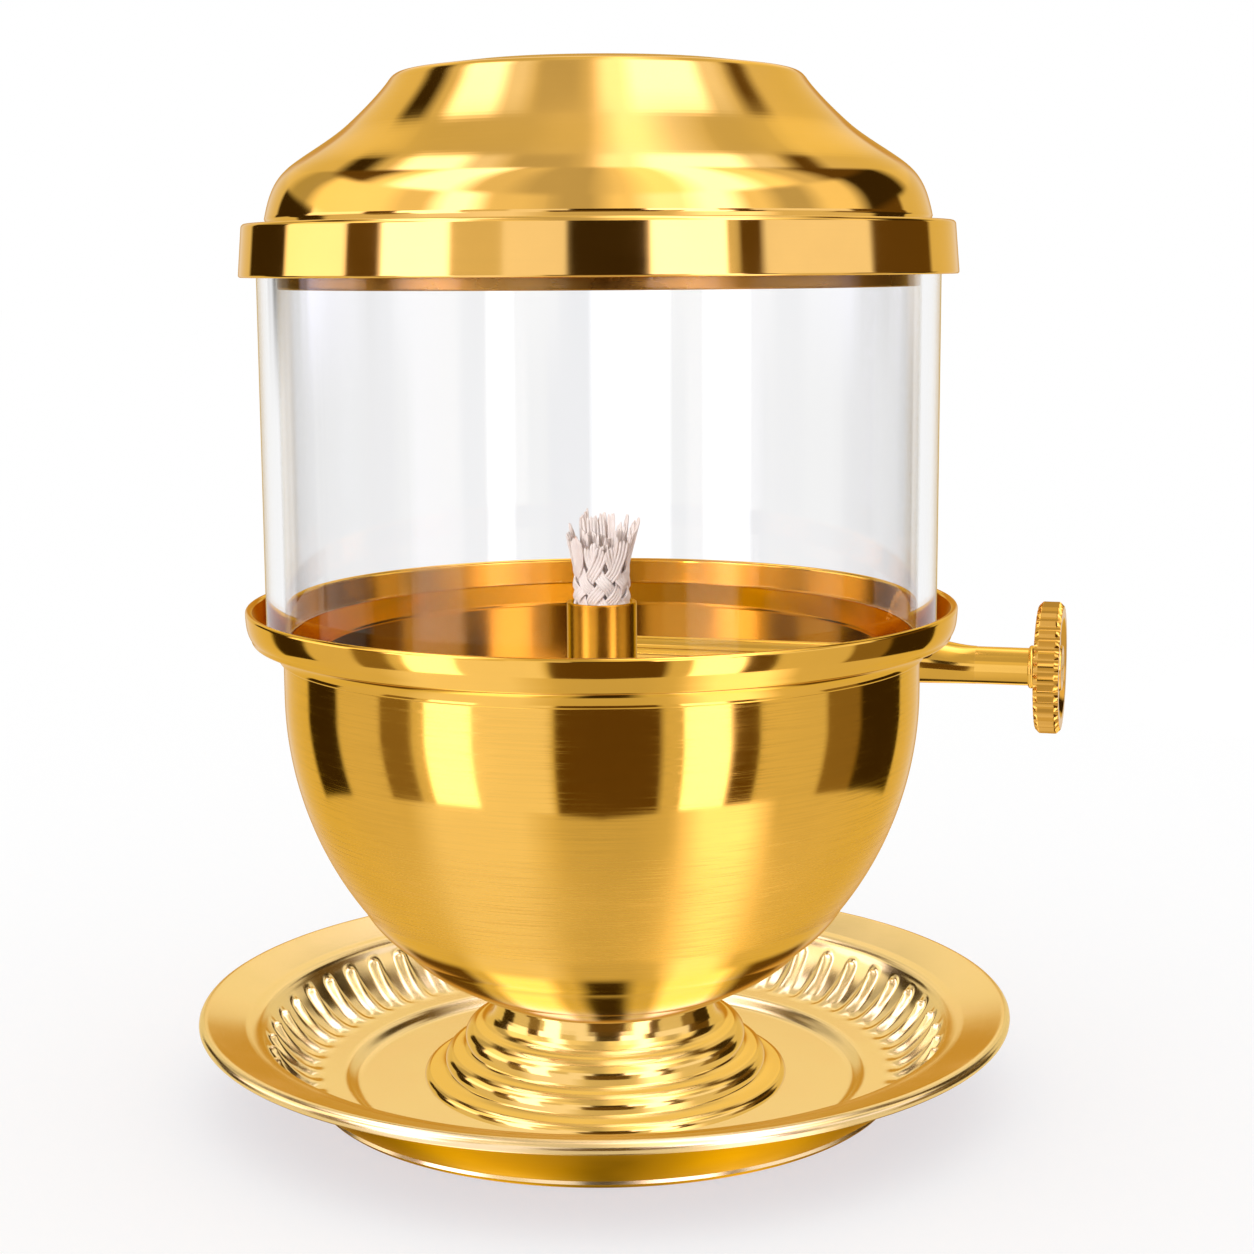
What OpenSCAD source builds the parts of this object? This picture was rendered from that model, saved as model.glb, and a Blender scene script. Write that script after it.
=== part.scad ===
// Akhand diya: a brass oil lamp with a drip plate, a bowl on a stepped foot, a glass chimney in a
// gallery ring, a lift-off lid, and a knob at the side that winds the wick up and down.
// Millimetres. Z is up, the underside of the plate is at zero, and the knob points along X.

/* [Drip plate] */
// Radius of the plate over its rolled edge
plate_r = 68; // [64:0.5:76]
// Width of the flat rim, from the edge in to the well
rim_w = 9.9; // [7:0.1:12]
// Radius of the rolled edge's round section
edge_r = 1.1; // [0.8:0.05:1.4]
// Height of the rolled edge's centre
edge_z = 13.8; // [12:0.1:18]
// How far the rim falls from its edge to the well
rim_fall = 1.2; // [0.4:0.1:2]
// Wall of the rim
rim_t = 1.5; // [1.2:0.1:2]
// Radius where the fluted wall meets the ledge
well_r = 47; // [46:0.1:49]
// Height of the ledge
ledge_z = 3.0; // [2.4:0.1:3.8]
// Radius of the sunk floor in the middle
floor_r = 41.4; // [38:0.1:42.5]
// Thickness of the floor
floor_t = 1.2; // [1:0.1:2]
// Number of flutes round the well
flute_count = 56; // [40:1:60]
// Radius of a flute at its wide upper end
flute_r = 2.4; // [2:0.05:2.7]

/* [Foot] */
// Radius of the foot where it stands on the plate
foot_r = 30.7; // [28:0.1:34]
// Height of the foot
foot_h = 15; // [13:0.1:20]
// Radius of the neck under the bowl
neck_r = 18.5; // [17:0.1:19.3]
// Wall of the foot
foot_wall = 2.4; // [1.8:0.1:3]

/* [Bowl] */
// Radius of the bowl at its widest
bowl_r = 52.4; // [50:0.1:54]
// Depth of the curve from the widest place to the pole
bowl_depth = 55.9; // [48:0.1:62]
// Radius of the flat that stands on the foot
bowl_flat_r = 19.5; // [18:0.1:21]
// Height of the straight neck above the curve
bowl_neck_h = 8.8; // [8:0.1:12]
// Wall of the bowl
bowl_wall = 1.2; // [1:0.05:1.6]

/* [Gallery ring] */
// How far the lip stands out from the bowl
lip_out = 6.05; // [5.2:0.05:7.6]
// Height of the lip above the glass seat
lip_h = 4.7; // [3.5:0.1:7]
// How far the collar leans in from the lip to its foot
lip_lean = 0.9; // [0.3:0.05:1.2]
// Wall of the collar
gallery_wall = 1.05; // [0.9:0.05:1.3]
// How far the sloping flange reaches in from the outside of the bowl
flange_in = 6; // [4.9:0.1:9.4]

/* [Chimney] */
// How far the outside of the glass stands out from the bowl
glass_out = 2.6; // [1.6:0.05:3.1]
// Wall of the glass
glass_wall = 3; // [2:0.1:3.2]
// Length of the glass
glass_len = 64; // [50:0.5:90]

/* [Lid] */
// Gap between the glass and the lower edge of the skirt
skirt_gap = 1.65; // [1.3:0.05:3.3]
// Height of the skirt
skirt_h = 8.4; // [6:0.1:12]
// Wall of the lid
lid_wall = 1.2; // [1:0.05:1.5]
// Step in from the skirt to the foot of the dome
dome_in = 4.35; // [3.85:0.05:5.05]
// Height of the dome above the shoulder
dome_h = 24.6; // [20:0.1:30]
// Number of vent holes in the top
vent_count = 10; // [6:1:12]
// Radius of a vent hole
vent_r = 3.5; // [2:0.1:4]
// Radius of the circle that the vent holes lie on
vent_pcr = 17; // [15:0.1:18]
// Depth of the ring that centres the lid in the glass
ring_drop = 8; // [4:0.1:12]

/* [Burner] */
// Outer radius of the wick tube
tube_r = 5.8; // [5.5:0.05:6.4]
// Wall of the wick tube
tube_wall = 0.6; // [0.5:0.05:0.8]
// How far the tube stands above the glass seat
tube_rise = 4.7; // [2:0.1:8]
// How far the wick stands out of the tube
wick_rise = 15.2; // [10:0.1:22]
// Radius of the trimmed, spread top of the wick
wick_top_r = 6.6; // [6:0.1:8]
// How far the winder can lower the wick
wick_down = 5; // [3:0.1:6]
// How far the winder can raise the wick
wick_up = 12; // [8:0.1:14]

/* [Winder] */
// Radius of the toothed wheel over its teeth
wheel_r = 4; // [3.5:0.05:4.4]
// Number of teeth
tooth_count = 12; // [8:1:16]
// Thickness of the wheel
wheel_t = 3; // [2:0.1:4]
// How deep the teeth press into the wick
tooth_bite = 0.65; // [0.4:0.05:0.8]
// Radius of the spindle
spindle_r = 1.5; // [1.3:0.05:1.7]
// Outer radius of the sleeve that the spindle turns in
sleeve_r = 3.05; // [2.6:0.05:3.05]
// How far the spindle lies below the bowl's top edge
spindle_drop = 4.3; // [4:0.1:6]
// Distance from the lip to the knob
knob_reach = 12.4; // [10:0.1:20]
// Radius of the knob
knob_r = 10.7; // [8:0.05:13]
// Thickness of the knob
knob_t = 4; // [3:0.1:5]
// Number of grip scallops on the knob
knurl_count = 34; // [24:1:40]

/* [Through bolt] */
// Radius of the bolt that holds the lamp together
bolt_r = 3; // [2.5:0.05:3.5]
// Width of the nut across its flats
nut_af = 10; // [9:0.1:12]
// Height of the nut
nut_h = 4; // [3:0.1:4.5]

/* [Hidden] */
$fn = 96;

// Clearances: soldered seats, turning fits and soft pieces
seat_gap = 0.05;
run_gap = 0.05;
soft_gap = 0.3;
// Overlap of a cutter past the face that it opens
cut = 1;

// Plate
rim_in_r = plate_r - rim_w;
rim_in_z = edge_z - rim_fall;
step_r = floor_r + 3;
base_r = well_r + 0.6;
base_round = 2;
flute_tip_r = 0.15;

// Raised hub in the middle of the plate, with the nut in the recess under it
washer_t = 1;
washer_r = 8;
nut_lift = 1;
hub_t = 1.4;
hub_r = washer_r + 5;
recess_z = nut_lift + nut_h + washer_t;
hub_z = recess_z + hub_t;

// Foot
foot_z = floor_t;
foot_top_z = foot_z + foot_h;
foot_web = 3;

// Bowl: half an ellipse cut off by the flat, then a straight neck
bowl_z = foot_top_z;
bowl_mid_z = bowl_z + bowl_depth * sqrt(1 - pow(bowl_flat_r / bowl_r, 2));
bowl_top_z = bowl_mid_z + bowl_neck_h;
bowl_floor_z = bowl_z + bowl_wall;

// Gallery and chimney
seat_z = bowl_top_z + gallery_wall;
lip_z = seat_z + lip_h;
lip_r = bowl_r + lip_out;
collar_r = lip_r - lip_lean;
hem_z = bowl_top_z - 2.6;
hem_r = bowl_r + seat_gap + 0.7;
glass_r = bowl_r + glass_out;
glass_in_r = glass_r - glass_wall;
bead_r = glass_in_r - soft_gap;
bead_w = 1.4;
bead_h = 0.8;
flange_r = bowl_r - flange_in;
flange_z = seat_z - 2.1;
flange_low_z = flange_z - gallery_wall * 0.8;

// Lid
glass_top_z = seat_z + glass_len;
ring_t = 1;
ring_r = glass_in_r - soft_gap;
ring_rest_z = glass_top_z + seat_gap;
shoulder_z = ring_rest_z + ring_t;
shoulder_top_z = shoulder_z + lid_wall;
skirt_z = shoulder_top_z - skirt_h;
lid_top_z = shoulder_top_z + dome_h;
skirt_r = glass_r + skirt_gap + lid_wall;
dome_r = skirt_r - dome_in;
waist_r = dome_r - 8.3;
brow_r = waist_r - 9;
plateau_r = brow_r - 12.2;

// Burner
seal_t = 0.8;
burner_flange_t = 2;
burner_flange_r = 12;
burner_z = bowl_floor_z + seal_t;
tube_z = burner_z + burner_flange_t;
tube_in_r = tube_r - tube_wall;
tube_top_z = seat_z + tube_rise;
socket_wall = 1.3;
socket_h = 7;
port_r = 2.2;
port_z = tube_z + socket_h + port_r + 1.5;
bolt_head_r = tube_in_r - 0.4;
bolt_head_h = 3;

// Wick: it stops short of the bolt's head when it is wound right down
wick_r = tube_in_r - 0.25;
wick_z = tube_z + bolt_head_h + wick_down + 2;
wick_top_z = tube_top_z + wick_rise;
wick_flare_z = tube_top_z + wick_down + 0.4;

// Winder: the wheel stands behind the wick and bites into its side
spindle_z = bowl_top_z - spindle_drop;
wick_flat_y = wick_r - tooth_bite - soft_gap;
spindle_y = wick_r - tooth_bite + wheel_r;
tooth_h = wheel_r * 0.25;
box_in_r = wheel_r + 0.4;
box_wall = 0.8;
box_r = box_in_r + box_wall;
box_half = wheel_t / 2 + 0.3;
box_x = box_half + box_wall;
sleeve_bore_r = spindle_r + run_gap;
knob_x = lip_r + knob_reach;
sleeve_end_x = knob_x - 0.5;
knob_far_x = knob_x + knob_t;
hub_knob_r = 3.9;
dish = 0.8;
pin_r = 0.5;
screw_r = 1;
screw_len = 6;
end_ring_w = 0.9;
end_ring_r = sleeve_r + 0.45;
ferrule_back = 3;
ferrule_nose = 0.8;
ferrule_r = sleeve_r + 1.1;
lock_ring_r = sleeve_r + 1.8;
lock_ring_t = 2;

// Colours
polished = "#e0b048";
brushed = "#d4a43e";
dark_brass = "#b98a34";
cotton = "#efe4dc";
clear_glass = [0.85, 0.9, 0.9, 0.35];
seal_rubber = "#33302c";

// Curves for the profiles, as points [radius, height]
function bez(a, b, c, d, n = 8) = [
    for (i = [0:n])
        let (t = i / n, s = 1 - t)
        s * s * s * a + 3 * s * s * t * b + 3 * s * t * t * c + t * t * t * d
];
function arc(centre, r, from, to, n = 6) = [
    for (i = [0:n])
        let (a = from + (to - from) * i / n)
        centre + r * [cos(a), sin(a)]
];
function unit(v) = v / norm(v);
function reversed(p) = [for (i = [len(p) - 1:-1:0]) p[i]];
function rest(p) = [for (i = [1:len(p) - 1]) p[i]];
// The same path moved to its left by t, which is inwards on a path that runs from low to high
function inset(p, t) = [
    for (i = [0:len(p) - 1])
        let (d = unit(p[min(i + 1, len(p) - 1)] - p[max(i - 1, 0)]))
        p[i] + t * [-d[1], d[0]]
];

// Everything along the spindle is drawn along Z and laid over to X
module on_spindle(x) {
    translate([x, spindle_y, spindle_z])
        rotate([0, 90, 0])
            children();
}

// Section of the sloping shoulder that the flutes are scooped out of, with its back inside the wall
function shoulder_outline() =
    let (tip = [rim_in_r - 3.5, rim_in_z - 3])
    concat(
        bez([well_r, ledge_z - 0.2], [well_r + 2.6, ledge_z + 0.3], [tip[0] - 1.6, tip[1] - 2.8], tip, 5),
        rest(arc(tip + [0.95, -0.2], 0.97, 168, 60, 4)),
        [[rim_in_r - 0.4, tip[1] + 0.2], [rim_in_r - 0.4, tip[1] - 1], [well_r + 3.4, ledge_z - 0.6]]
    );

// Each flute is a cone on its side: a point on the ledge, wide and deep under the rim
module flutes() {
    low = [well_r + 1.2, ledge_z - 0.3];
    top = [rim_in_r - 1.6, rim_in_z - 2.6];
    run = top - low;
    lean = atan2(run[0], run[1]);
    for (i = [0:flute_count - 1])
        rotate([0, 0, i * 360 / flute_count])
            translate([low[0], 0, low[1]])
                rotate([0, lean, 0])
                    cylinder(r1 = flute_tip_r, r2 = flute_r, h = norm(run), $fn = 24);
}

// Upper face of the plate from the hub out to the rolled edge
function plate_top() = concat(
    [[0, hub_z], [hub_r - 1, hub_z]],
    arc([hub_r - 1, hub_z - 1], 1, 80, 10, 3),
    [[hub_r, floor_t], [floor_r, floor_t]],
    rest(bez([floor_r, floor_t], [floor_r + 1.4, floor_t], [step_r - 1.2, ledge_z], [step_r, ledge_z], 6)),
    [[well_r + 3.4, ledge_z], [rim_in_r - 0.9, rim_in_z - 1.6]],
    bez([rim_in_r - 0.6, rim_in_z - 0.7], [rim_in_r - 0.4, rim_in_z - 0.2], [rim_in_r, rim_in_z],
        [rim_in_r + 0.6, rim_in_z + 0.05], 3),
    [[plate_r - edge_r, edge_z + edge_r * 0.6]]
);

// Underside from the rolled edge back to the recess
function plate_under() = concat(
    [[plate_r - edge_r, edge_z + edge_r * 0.6 - rim_t], [rim_in_r + 2.2, rim_in_z - rim_t + 0.2]],
    bez([rim_in_r + 1.4, rim_in_z - rim_t - 0.4], [rim_in_r - 1.2, rim_in_z - 5.5],
        [base_r + 4.4, base_round + 1.4], [base_r + 1.6, base_round * 0.75], 6),
    arc([base_r, base_round], base_round, -30, -90, 3),
    [[hub_r - hub_t, 0], [hub_r - hub_t, recess_z], [0, recess_z]]
);

module plate() {
    color(polished)
        difference() {
            union() {
                rotate_extrude() polygon(concat(plate_top(), plate_under()));
                rotate_extrude() translate([plate_r - edge_r, edge_z]) circle(edge_r, $fn = 24);
                difference() {
                    rotate_extrude() polygon(shoulder_outline());
                    flutes();
                }
            }
            translate([0, 0, recess_z - cut]) cylinder(r = bolt_r + seat_gap, h = hub_t + 2 * cut);
        }
}

// One tier of the foot: a cove out from the tier above, then a full round over its edge
function tier(from, r, top, low) =
    let (
        over = 78,
        under = 35,
        swell = (top - low) / (sin(over) + sin(under)),
        edge = arc([r - swell, low + swell * sin(under)], swell, over, -under, 7)
    )
    concat(
        bez(from, [from[0] + 0.1, top + 0.1], [edge[0][0] - 1.2, top - 0.05], edge[0], 5),
        rest(edge)
    );

function foot_outline() =
    let (
        high_r = neck_r + (foot_r - neck_r) * 0.43,
        mid_r = neck_r + (foot_r - neck_r) * 0.71,
        z = [for (share = [0.65, 0.39, 0.35, 0.155, 0.125, 0]) foot_z + share * foot_h],
        high = tier([neck_r, foot_top_z - 0.6], high_r, z[0], z[1]),
        middle = tier(high[len(high) - 1], mid_r, z[2], z[3]),
        low = tier(middle[len(middle) - 1], foot_r, z[4], z[5])
    )
    concat([[bowl_flat_r, foot_top_z], [bowl_flat_r, foot_top_z - 0.3]], high, rest(middle), rest(low));

module foot() {
    color(polished)
        rotate_extrude()
            polygon(concat(
                foot_outline(),
                [
                    [foot_r - 2 * foot_wall, foot_z],
                    [neck_r - foot_wall, foot_top_z - foot_web],
                    [bolt_r + seat_gap, foot_top_z - foot_web],
                    [bolt_r + seat_gap, foot_top_z]
                ]
            ));
}

// Outside of the bowl from the edge of its flat up to its top edge
function bowl_curve(n = 22) =
    let (start = acos(bowl_flat_r / bowl_r))
    concat(
        [
            for (i = [0:n])
                let (a = start * (1 - i / n))
                [bowl_r * cos(a), bowl_mid_z - bowl_depth * sin(a)]
        ],
        [[bowl_r, bowl_top_z]]
    );

module bowl() {
    outside = bowl_curve();
    inside = [for (p = inset(outside, bowl_wall)) if (p[1] > bowl_floor_z) p];
    color(brushed)
        difference() {
            rotate_extrude()
                polygon(concat(
                    [[bolt_r + seat_gap, bowl_z]],
                    outside,
                    reversed(inside),
                    [[bowl_flat_r - bowl_wall, bowl_floor_z], [bolt_r + seat_gap, bowl_floor_z]]
                ));
            on_spindle(bowl_r / 2) cylinder(r = sleeve_r + seat_gap, h = bowl_r);
        }
}

// The gallery's section: a hem round the bowl, the collar, the glass seat and the sloping flange
function gallery_outline() = concat(
    [[bowl_r + seat_gap, hem_z], [hem_r, hem_z]],
    rest(bez([hem_r, hem_z], [hem_r + 0.4, seat_z - 1.6], [collar_r - 2.6, seat_z - 0.9],
        [collar_r - 0.7, seat_z - 0.7], 6)),
    arc([collar_r - 0.7, seat_z], 0.7, -75, 0, 4),
    rest(arc([lip_r - gallery_wall / 2, lip_z - gallery_wall / 2], gallery_wall / 2, 0, 180, 6)),
    arc([collar_r - gallery_wall - 0.6, seat_z + 0.6], 0.6, 0, -90, 3),
    [[bead_r, seat_z]],
    arc([bead_r - bead_w / 2, seat_z + bead_h - bead_w / 2], bead_w / 2, 0, 120, 5),
    [
        [flange_r, flange_z],
        [flange_r, flange_low_z],
        [bead_r - bead_w, bowl_top_z],
        [bowl_r + seat_gap, bowl_top_z]
    ]
);

module gallery_ring() {
    color(polished)
        difference() {
            rotate_extrude() polygon(gallery_outline());
            on_spindle(bowl_r / 2) cylinder(r = sleeve_r + seat_gap, h = bowl_r);
        }
}

module base_bolt() {
    color(dark_brass)
        difference() {
            union() {
                translate([0, 0, nut_lift]) cylinder(r = bolt_r, h = tube_z - nut_lift);
                translate([0, 0, tube_z]) cylinder(r = bolt_head_r, h = bolt_head_h);
            }
            translate([-bolt_head_r, -0.6, tube_z + bolt_head_h - 1.2])
                cube([2 * bolt_head_r, 1.2, 1.2 + cut]);
        }
}

// A flat ring standing on z
module washer(r, bore_r, z, t) {
    translate([0, 0, z])
        difference() {
            cylinder(r = r, h = t);
            translate([0, 0, -cut]) cylinder(r = bore_r, h = t + 2 * cut);
        }
}

module seal_washer() {
    color(seal_rubber) washer(burner_flange_r, bolt_r + seat_gap, bowl_floor_z, seal_t);
}

module base_washer() {
    color(dark_brass) washer(washer_r, bolt_r + seat_gap, recess_z - washer_t, washer_t);
}

module base_nut() {
    color(dark_brass)
        translate([0, 0, nut_lift])
            difference() {
                cylinder(r = nut_af / 2 / cos(30), h = nut_h, $fn = 6);
                translate([0, 0, -cut]) cylinder(r = bolt_r + seat_gap, h = nut_h + 2 * cut);
            }
}

// Flange and socket that the wick tube stands in, clamped on the bowl's floor by the bolt
module burner_foot() {
    color(dark_brass)
        difference() {
            union() {
                translate([0, 0, burner_z]) cylinder(r = burner_flange_r, h = burner_flange_t);
                translate([0, 0, tube_z]) cylinder(r = tube_r + socket_wall, h = socket_h);
            }
            translate([0, 0, burner_z - cut]) cylinder(r = bolt_r + seat_gap, h = burner_flange_t + 2 * cut);
            translate([0, 0, tube_z]) cylinder(r = tube_r + seat_gap, h = socket_h + cut);
        }
}

module wick_tube() {
    slot_w = wheel_t + 0.6;
    slot_h = 2 * box_in_r;
    color(polished)
        difference() {
            washer(tube_r, tube_in_r, tube_z, tube_top_z - tube_z);
            translate([-slot_w / 2, 0, spindle_z - slot_h / 2]) cube([slot_w, 2 * tube_r, slot_h]);
            for (turn = [45, 135])
                translate([0, 0, port_z])
                    rotate([0, 90, turn])
                        cylinder(r = port_r, h = 4 * tube_r, center = true);
        }
}

// Drum behind the tube that the wheel turns in, open to the tube's slot
module wheel_box() {
    color(dark_brass)
        difference() {
            on_spindle(-box_half) cylinder(r = box_r, h = box_half + box_x);
            on_spindle(-box_half - cut) cylinder(r = box_in_r, h = 2 * box_half + cut);
            on_spindle(0) cylinder(r = sleeve_bore_r, h = box_x + cut);
            translate([0, 0, tube_z]) cylinder(r = tube_r + seat_gap, h = tube_top_z);
        }
}

module wheel_box_cap() {
    color(dark_brass)
        difference() {
            on_spindle(-box_x) cylinder(r = box_r, h = box_wall);
            on_spindle(-box_x - cut) cylinder(r = sleeve_bore_r, h = box_wall + 2 * cut);
            translate([0, 0, tube_z]) cylinder(r = tube_r + seat_gap, h = tube_top_z);
        }
}

module spindle_sleeve() {
    color(polished)
        on_spindle(box_x)
            difference() {
                cylinder(r = sleeve_r, h = sleeve_end_x - box_x);
                translate([0, 0, -cut]) cylinder(r = sleeve_bore_r, h = sleeve_end_x - box_x + 2 * cut);
            }
}

// Outside of the bowl and the gallery together, as a solid that fittings are shaped against
module lamp_outside() {
    outside = [for (p = gallery_outline()) if (p[0] >= hem_r && p[1] <= lip_z) p];
    rotate_extrude()
        polygon(concat(
            [[0, bowl_z]],
            [for (p = bowl_curve()) if (p[1] < hem_z) p + [seat_gap, 0]],
            [[bowl_r + seat_gap, hem_z]],
            [for (p = outside) p + [seat_gap, 0]],
            [[0, lip_z]]
        ));
}

// Trumpet-shaped fitting that closes the hole in the bowl, soldered to the sleeve and the collar
module sleeve_ferrule() {
    start_x = bowl_r - ferrule_back;
    span = lip_r + ferrule_nose - start_x;
    color(polished)
        difference() {
            on_spindle(start_x)
                rotate_extrude()
                    polygon(concat(
                        [[sleeve_r + seat_gap, 0]],
                        bez([ferrule_r, 0], [ferrule_r - 0.3, span * 0.35], [sleeve_r + 0.35, span * 0.65],
                            [sleeve_r + 0.15, span], 6),
                        [[sleeve_r + seat_gap, span]]
                    ));
            lamp_outside();
        }
}

// Saddle-shaped ring inside the bowl and under the flange, soldered to the sleeve and the wall
module sleeve_lock_ring() {
    inside = [for (p = inset(bowl_curve(), bowl_wall)) p - [seat_gap, 0]];
    color(dark_brass)
        intersection() {
            on_spindle(bowl_r - bowl_wall - lock_ring_t - 2.6)
                washer(lock_ring_r, sleeve_r + seat_gap, 0, lock_ring_t + 4);
            rotate_extrude()
                polygon(concat(
                    [[0, inside[0][1]]],
                    [for (p = inside) if (p[1] < hem_z) p],
                    [
                        [bowl_r - bowl_wall - seat_gap, bowl_top_z - soft_gap],
                        [bead_r - bead_w, bowl_top_z - soft_gap],
                        [flange_r, flange_low_z - soft_gap],
                        [0, flange_low_z - soft_gap]
                    ]
                ));
        }
}

module sleeve_end_ring() {
    color(polished)
        on_spindle(sleeve_end_x - end_ring_w)
            rotate_extrude()
                polygon(concat(
                    [[sleeve_r + seat_gap, 0]],
                    arc([end_ring_r - end_ring_w / 2, end_ring_w / 2], end_ring_w / 2, -60, 60, 6),
                    [[sleeve_r + seat_gap, end_ring_w]]
                ));
}

module spindle() {
    color(dark_brass)
        difference() {
            on_spindle(-box_x - 0.5) cylinder(r = spindle_r, h = knob_far_x - dish + box_x + 0.5);
            on_spindle(knob_far_x - dish - screw_len) cylinder(r = screw_r, h = screw_len + cut);
            pin_hole();
        }
}

// Cross hole for the pin that locks the wheel on the spindle
module pin_hole() {
    translate([0, spindle_y, spindle_z]) cylinder(r = pin_r, h = 4 * wheel_r, center = true);
}

// Star wheel with pointed teeth, as on a lamp's wick winder
module wick_wheel() {
    pitch = 360 / tooth_count;
    color(dark_brass)
        difference() {
            on_spindle(-wheel_t / 2)
                difference() {
                    linear_extrude(wheel_t)
                        polygon([
                            for (i = [0:tooth_count - 1], side = [0, 1])
                                let (a = (i + side / 2) * pitch, r = wheel_r - side * tooth_h)
                                r * [cos(a), sin(a)]
                        ]);
                    translate([0, 0, -cut]) cylinder(r = spindle_r, h = wheel_t + 2 * cut);
                }
            pin_hole();
        }
}

module wheel_pin() {
    pin_len = 2 * (wheel_r - tooth_h) - 0.6;
    color(dark_brass)
        translate([0, spindle_y, spindle_z])
            cylinder(r = pin_r, h = pin_len, center = true);
}

// Scalloped thumb knob with a dished face round its hub
module knob() {
    bevel = 0.7;
    scallop_r = PI * knob_r / knurl_count * 0.8;
    color(polished)
        on_spindle(knob_x)
            difference() {
                rotate_extrude()
                    polygon([
                        [spindle_r, 0],
                        [knob_r - bevel, 0],
                        [knob_r, bevel],
                        [knob_r, knob_t - bevel],
                        [knob_r - bevel, knob_t],
                        [knob_r - 2.4, knob_t],
                        [knob_r - 3.2, knob_t - dish],
                        [hub_knob_r, knob_t - dish],
                        [hub_knob_r - 0.4, knob_t],
                        [screw_r + 1.2, knob_t],
                        [screw_r + 1.2, knob_t - dish],
                        [spindle_r, knob_t - dish]
                    ]);
                for (i = [0:knurl_count - 1])
                    rotate([0, 0, i * 360 / knurl_count])
                        translate([knob_r + scallop_r * 0.3, 0, -cut])
                            cylinder(r = scallop_r, h = knob_t + 2 * cut, $fn = 24);
            }
}

module knob_screw() {
    color(dark_brass)
        on_spindle(knob_far_x - dish)
            difference() {
                union() {
                    cylinder(r = screw_r + 1.1, h = dish);
                    translate([0, 0, 1 - screw_len]) cylinder(r = screw_r, h = screw_len - 1);
                }
                translate([-0.3, -knob_r, dish - 0.4]) cube([0.6, 2 * knob_r, 0.4 + cut]);
            }
}

// Braided cotton wick: a round rope, pressed flat where the wheel runs, spread open at the top
module wick() {
    flat_low = spindle_z - wheel_r - wick_up - 1;
    flat_high = min(spindle_z + wheel_r + wick_down + 1, tube_top_z - 0.4);
    flat_w = wheel_t + 0.6;
    color(cotton)
        difference() {
            rotate_extrude()
                polygon(concat(
                    [[0, wick_z], [wick_r, wick_z], [wick_r, wick_flare_z]],
                    rest(bez([wick_r, wick_flare_z], [wick_r + 0.2, wick_flare_z + 3],
                        [wick_top_r, wick_top_z - 5], [wick_top_r, wick_top_z - 2.5], 5)),
                    rest(bez([wick_top_r, wick_top_z - 2.5], [wick_top_r, wick_top_z - 0.6],
                        [wick_top_r - 1.4, wick_top_z], [0, wick_top_z], 4))
                ));
            translate([-flat_w / 2, wick_flat_y, flat_low])
                cube([flat_w, 2 * wick_r, flat_high - flat_low]);
        }
}

module glass_chimney() {
    color(clear_glass) washer(glass_r, glass_in_r, seat_z, glass_len);
}

// Outside of the dome: from the shoulder up over a round, a hollow slope with a crease at each end, and
// a second round to the flat top
function dome_curve() =
    let (
        z = shoulder_top_z,
        h = dome_h / 24.6,
        foot = [dome_r, z + 0.8 * h],
        waist = [waist_r, z + 11.2 * h],
        brow = [brow_r, z + 18.8 * h]
    )
    concat(
        bez(foot, [dome_r - 0.2, z + 5.6 * h], [waist_r + 4.3, z + 9.8 * h], waist, 9),
        rest(bez(waist, [waist_r - 3.2, z + 13.2 * h], [brow_r + 2.5, z + 16 * h], brow, 7)),
        rest(bez(brow, [brow_r - 1.3, z + 21.2 * h], [brow_r - 3, z + dome_h - 0.9 * h],
            [plateau_r + 6, z + dome_h - 0.35 * h], 8)),
        [[plateau_r, lid_top_z], [0, lid_top_z]]
    );

module lid() {
    round_r = 0.7;
    skirt_top_r = skirt_r - 0.65;
    dome = dome_curve();
    outside = concat(
        [[skirt_r, skirt_z]],
        arc([skirt_top_r - round_r, shoulder_top_z - round_r], round_r, 0, 90, 4),
        [[dome_r + 0.9, shoulder_top_z]],
        dome
    );
    inside = concat(
        reversed(inset(dome, lid_wall)),
        [
            [dome_r - lid_wall, shoulder_z],
            [skirt_top_r - lid_wall, shoulder_z],
            [skirt_r - lid_wall, skirt_z]
        ]
    );
    color(polished)
        difference() {
            rotate_extrude() polygon(concat(outside, inside));
            for (i = [0:vent_count - 1])
                rotate([0, 0, (i + 0.5) * 360 / vent_count])
                    translate([vent_pcr, 0, lid_top_z - lid_wall - cut])
                        cylinder(r = vent_r, h = lid_wall + 2 * cut);
        }
}

// Ring under the lid's shoulder: it rests on the glass and centres the lid in it
module lid_inner_ring() {
    color(dark_brass)
        rotate_extrude()
            polygon([
                [ring_r - ring_t, glass_top_z - ring_drop],
                [ring_r, glass_top_z - ring_drop],
                [ring_r, ring_rest_z],
                [glass_r, ring_rest_z],
                [glass_r, shoulder_z],
                [ring_r - ring_t, shoulder_z]
            ]);
}

plate();
foot();
bowl();
gallery_ring();
base_bolt();
seal_washer();
base_washer();
base_nut();
burner_foot();
wick_tube();
wheel_box();
wheel_box_cap();
spindle_sleeve();
sleeve_ferrule();
sleeve_lock_ring();
sleeve_end_ring();
spindle();
wick_wheel();
wheel_pin();
knob();
knob_screw();
wick();
glass_chimney();
lid();
lid_inner_ring();
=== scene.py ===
# Akhand diya: a brass lamp with a fluted drip plate, a stepped foot, a bowl with a gallery ring and a
# glass chimney, a domed lid, and a side knob that winds a braided cotton wick up and down.
import math
import random

import bmesh
import bpy
from mathutils import Matrix, Vector


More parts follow.
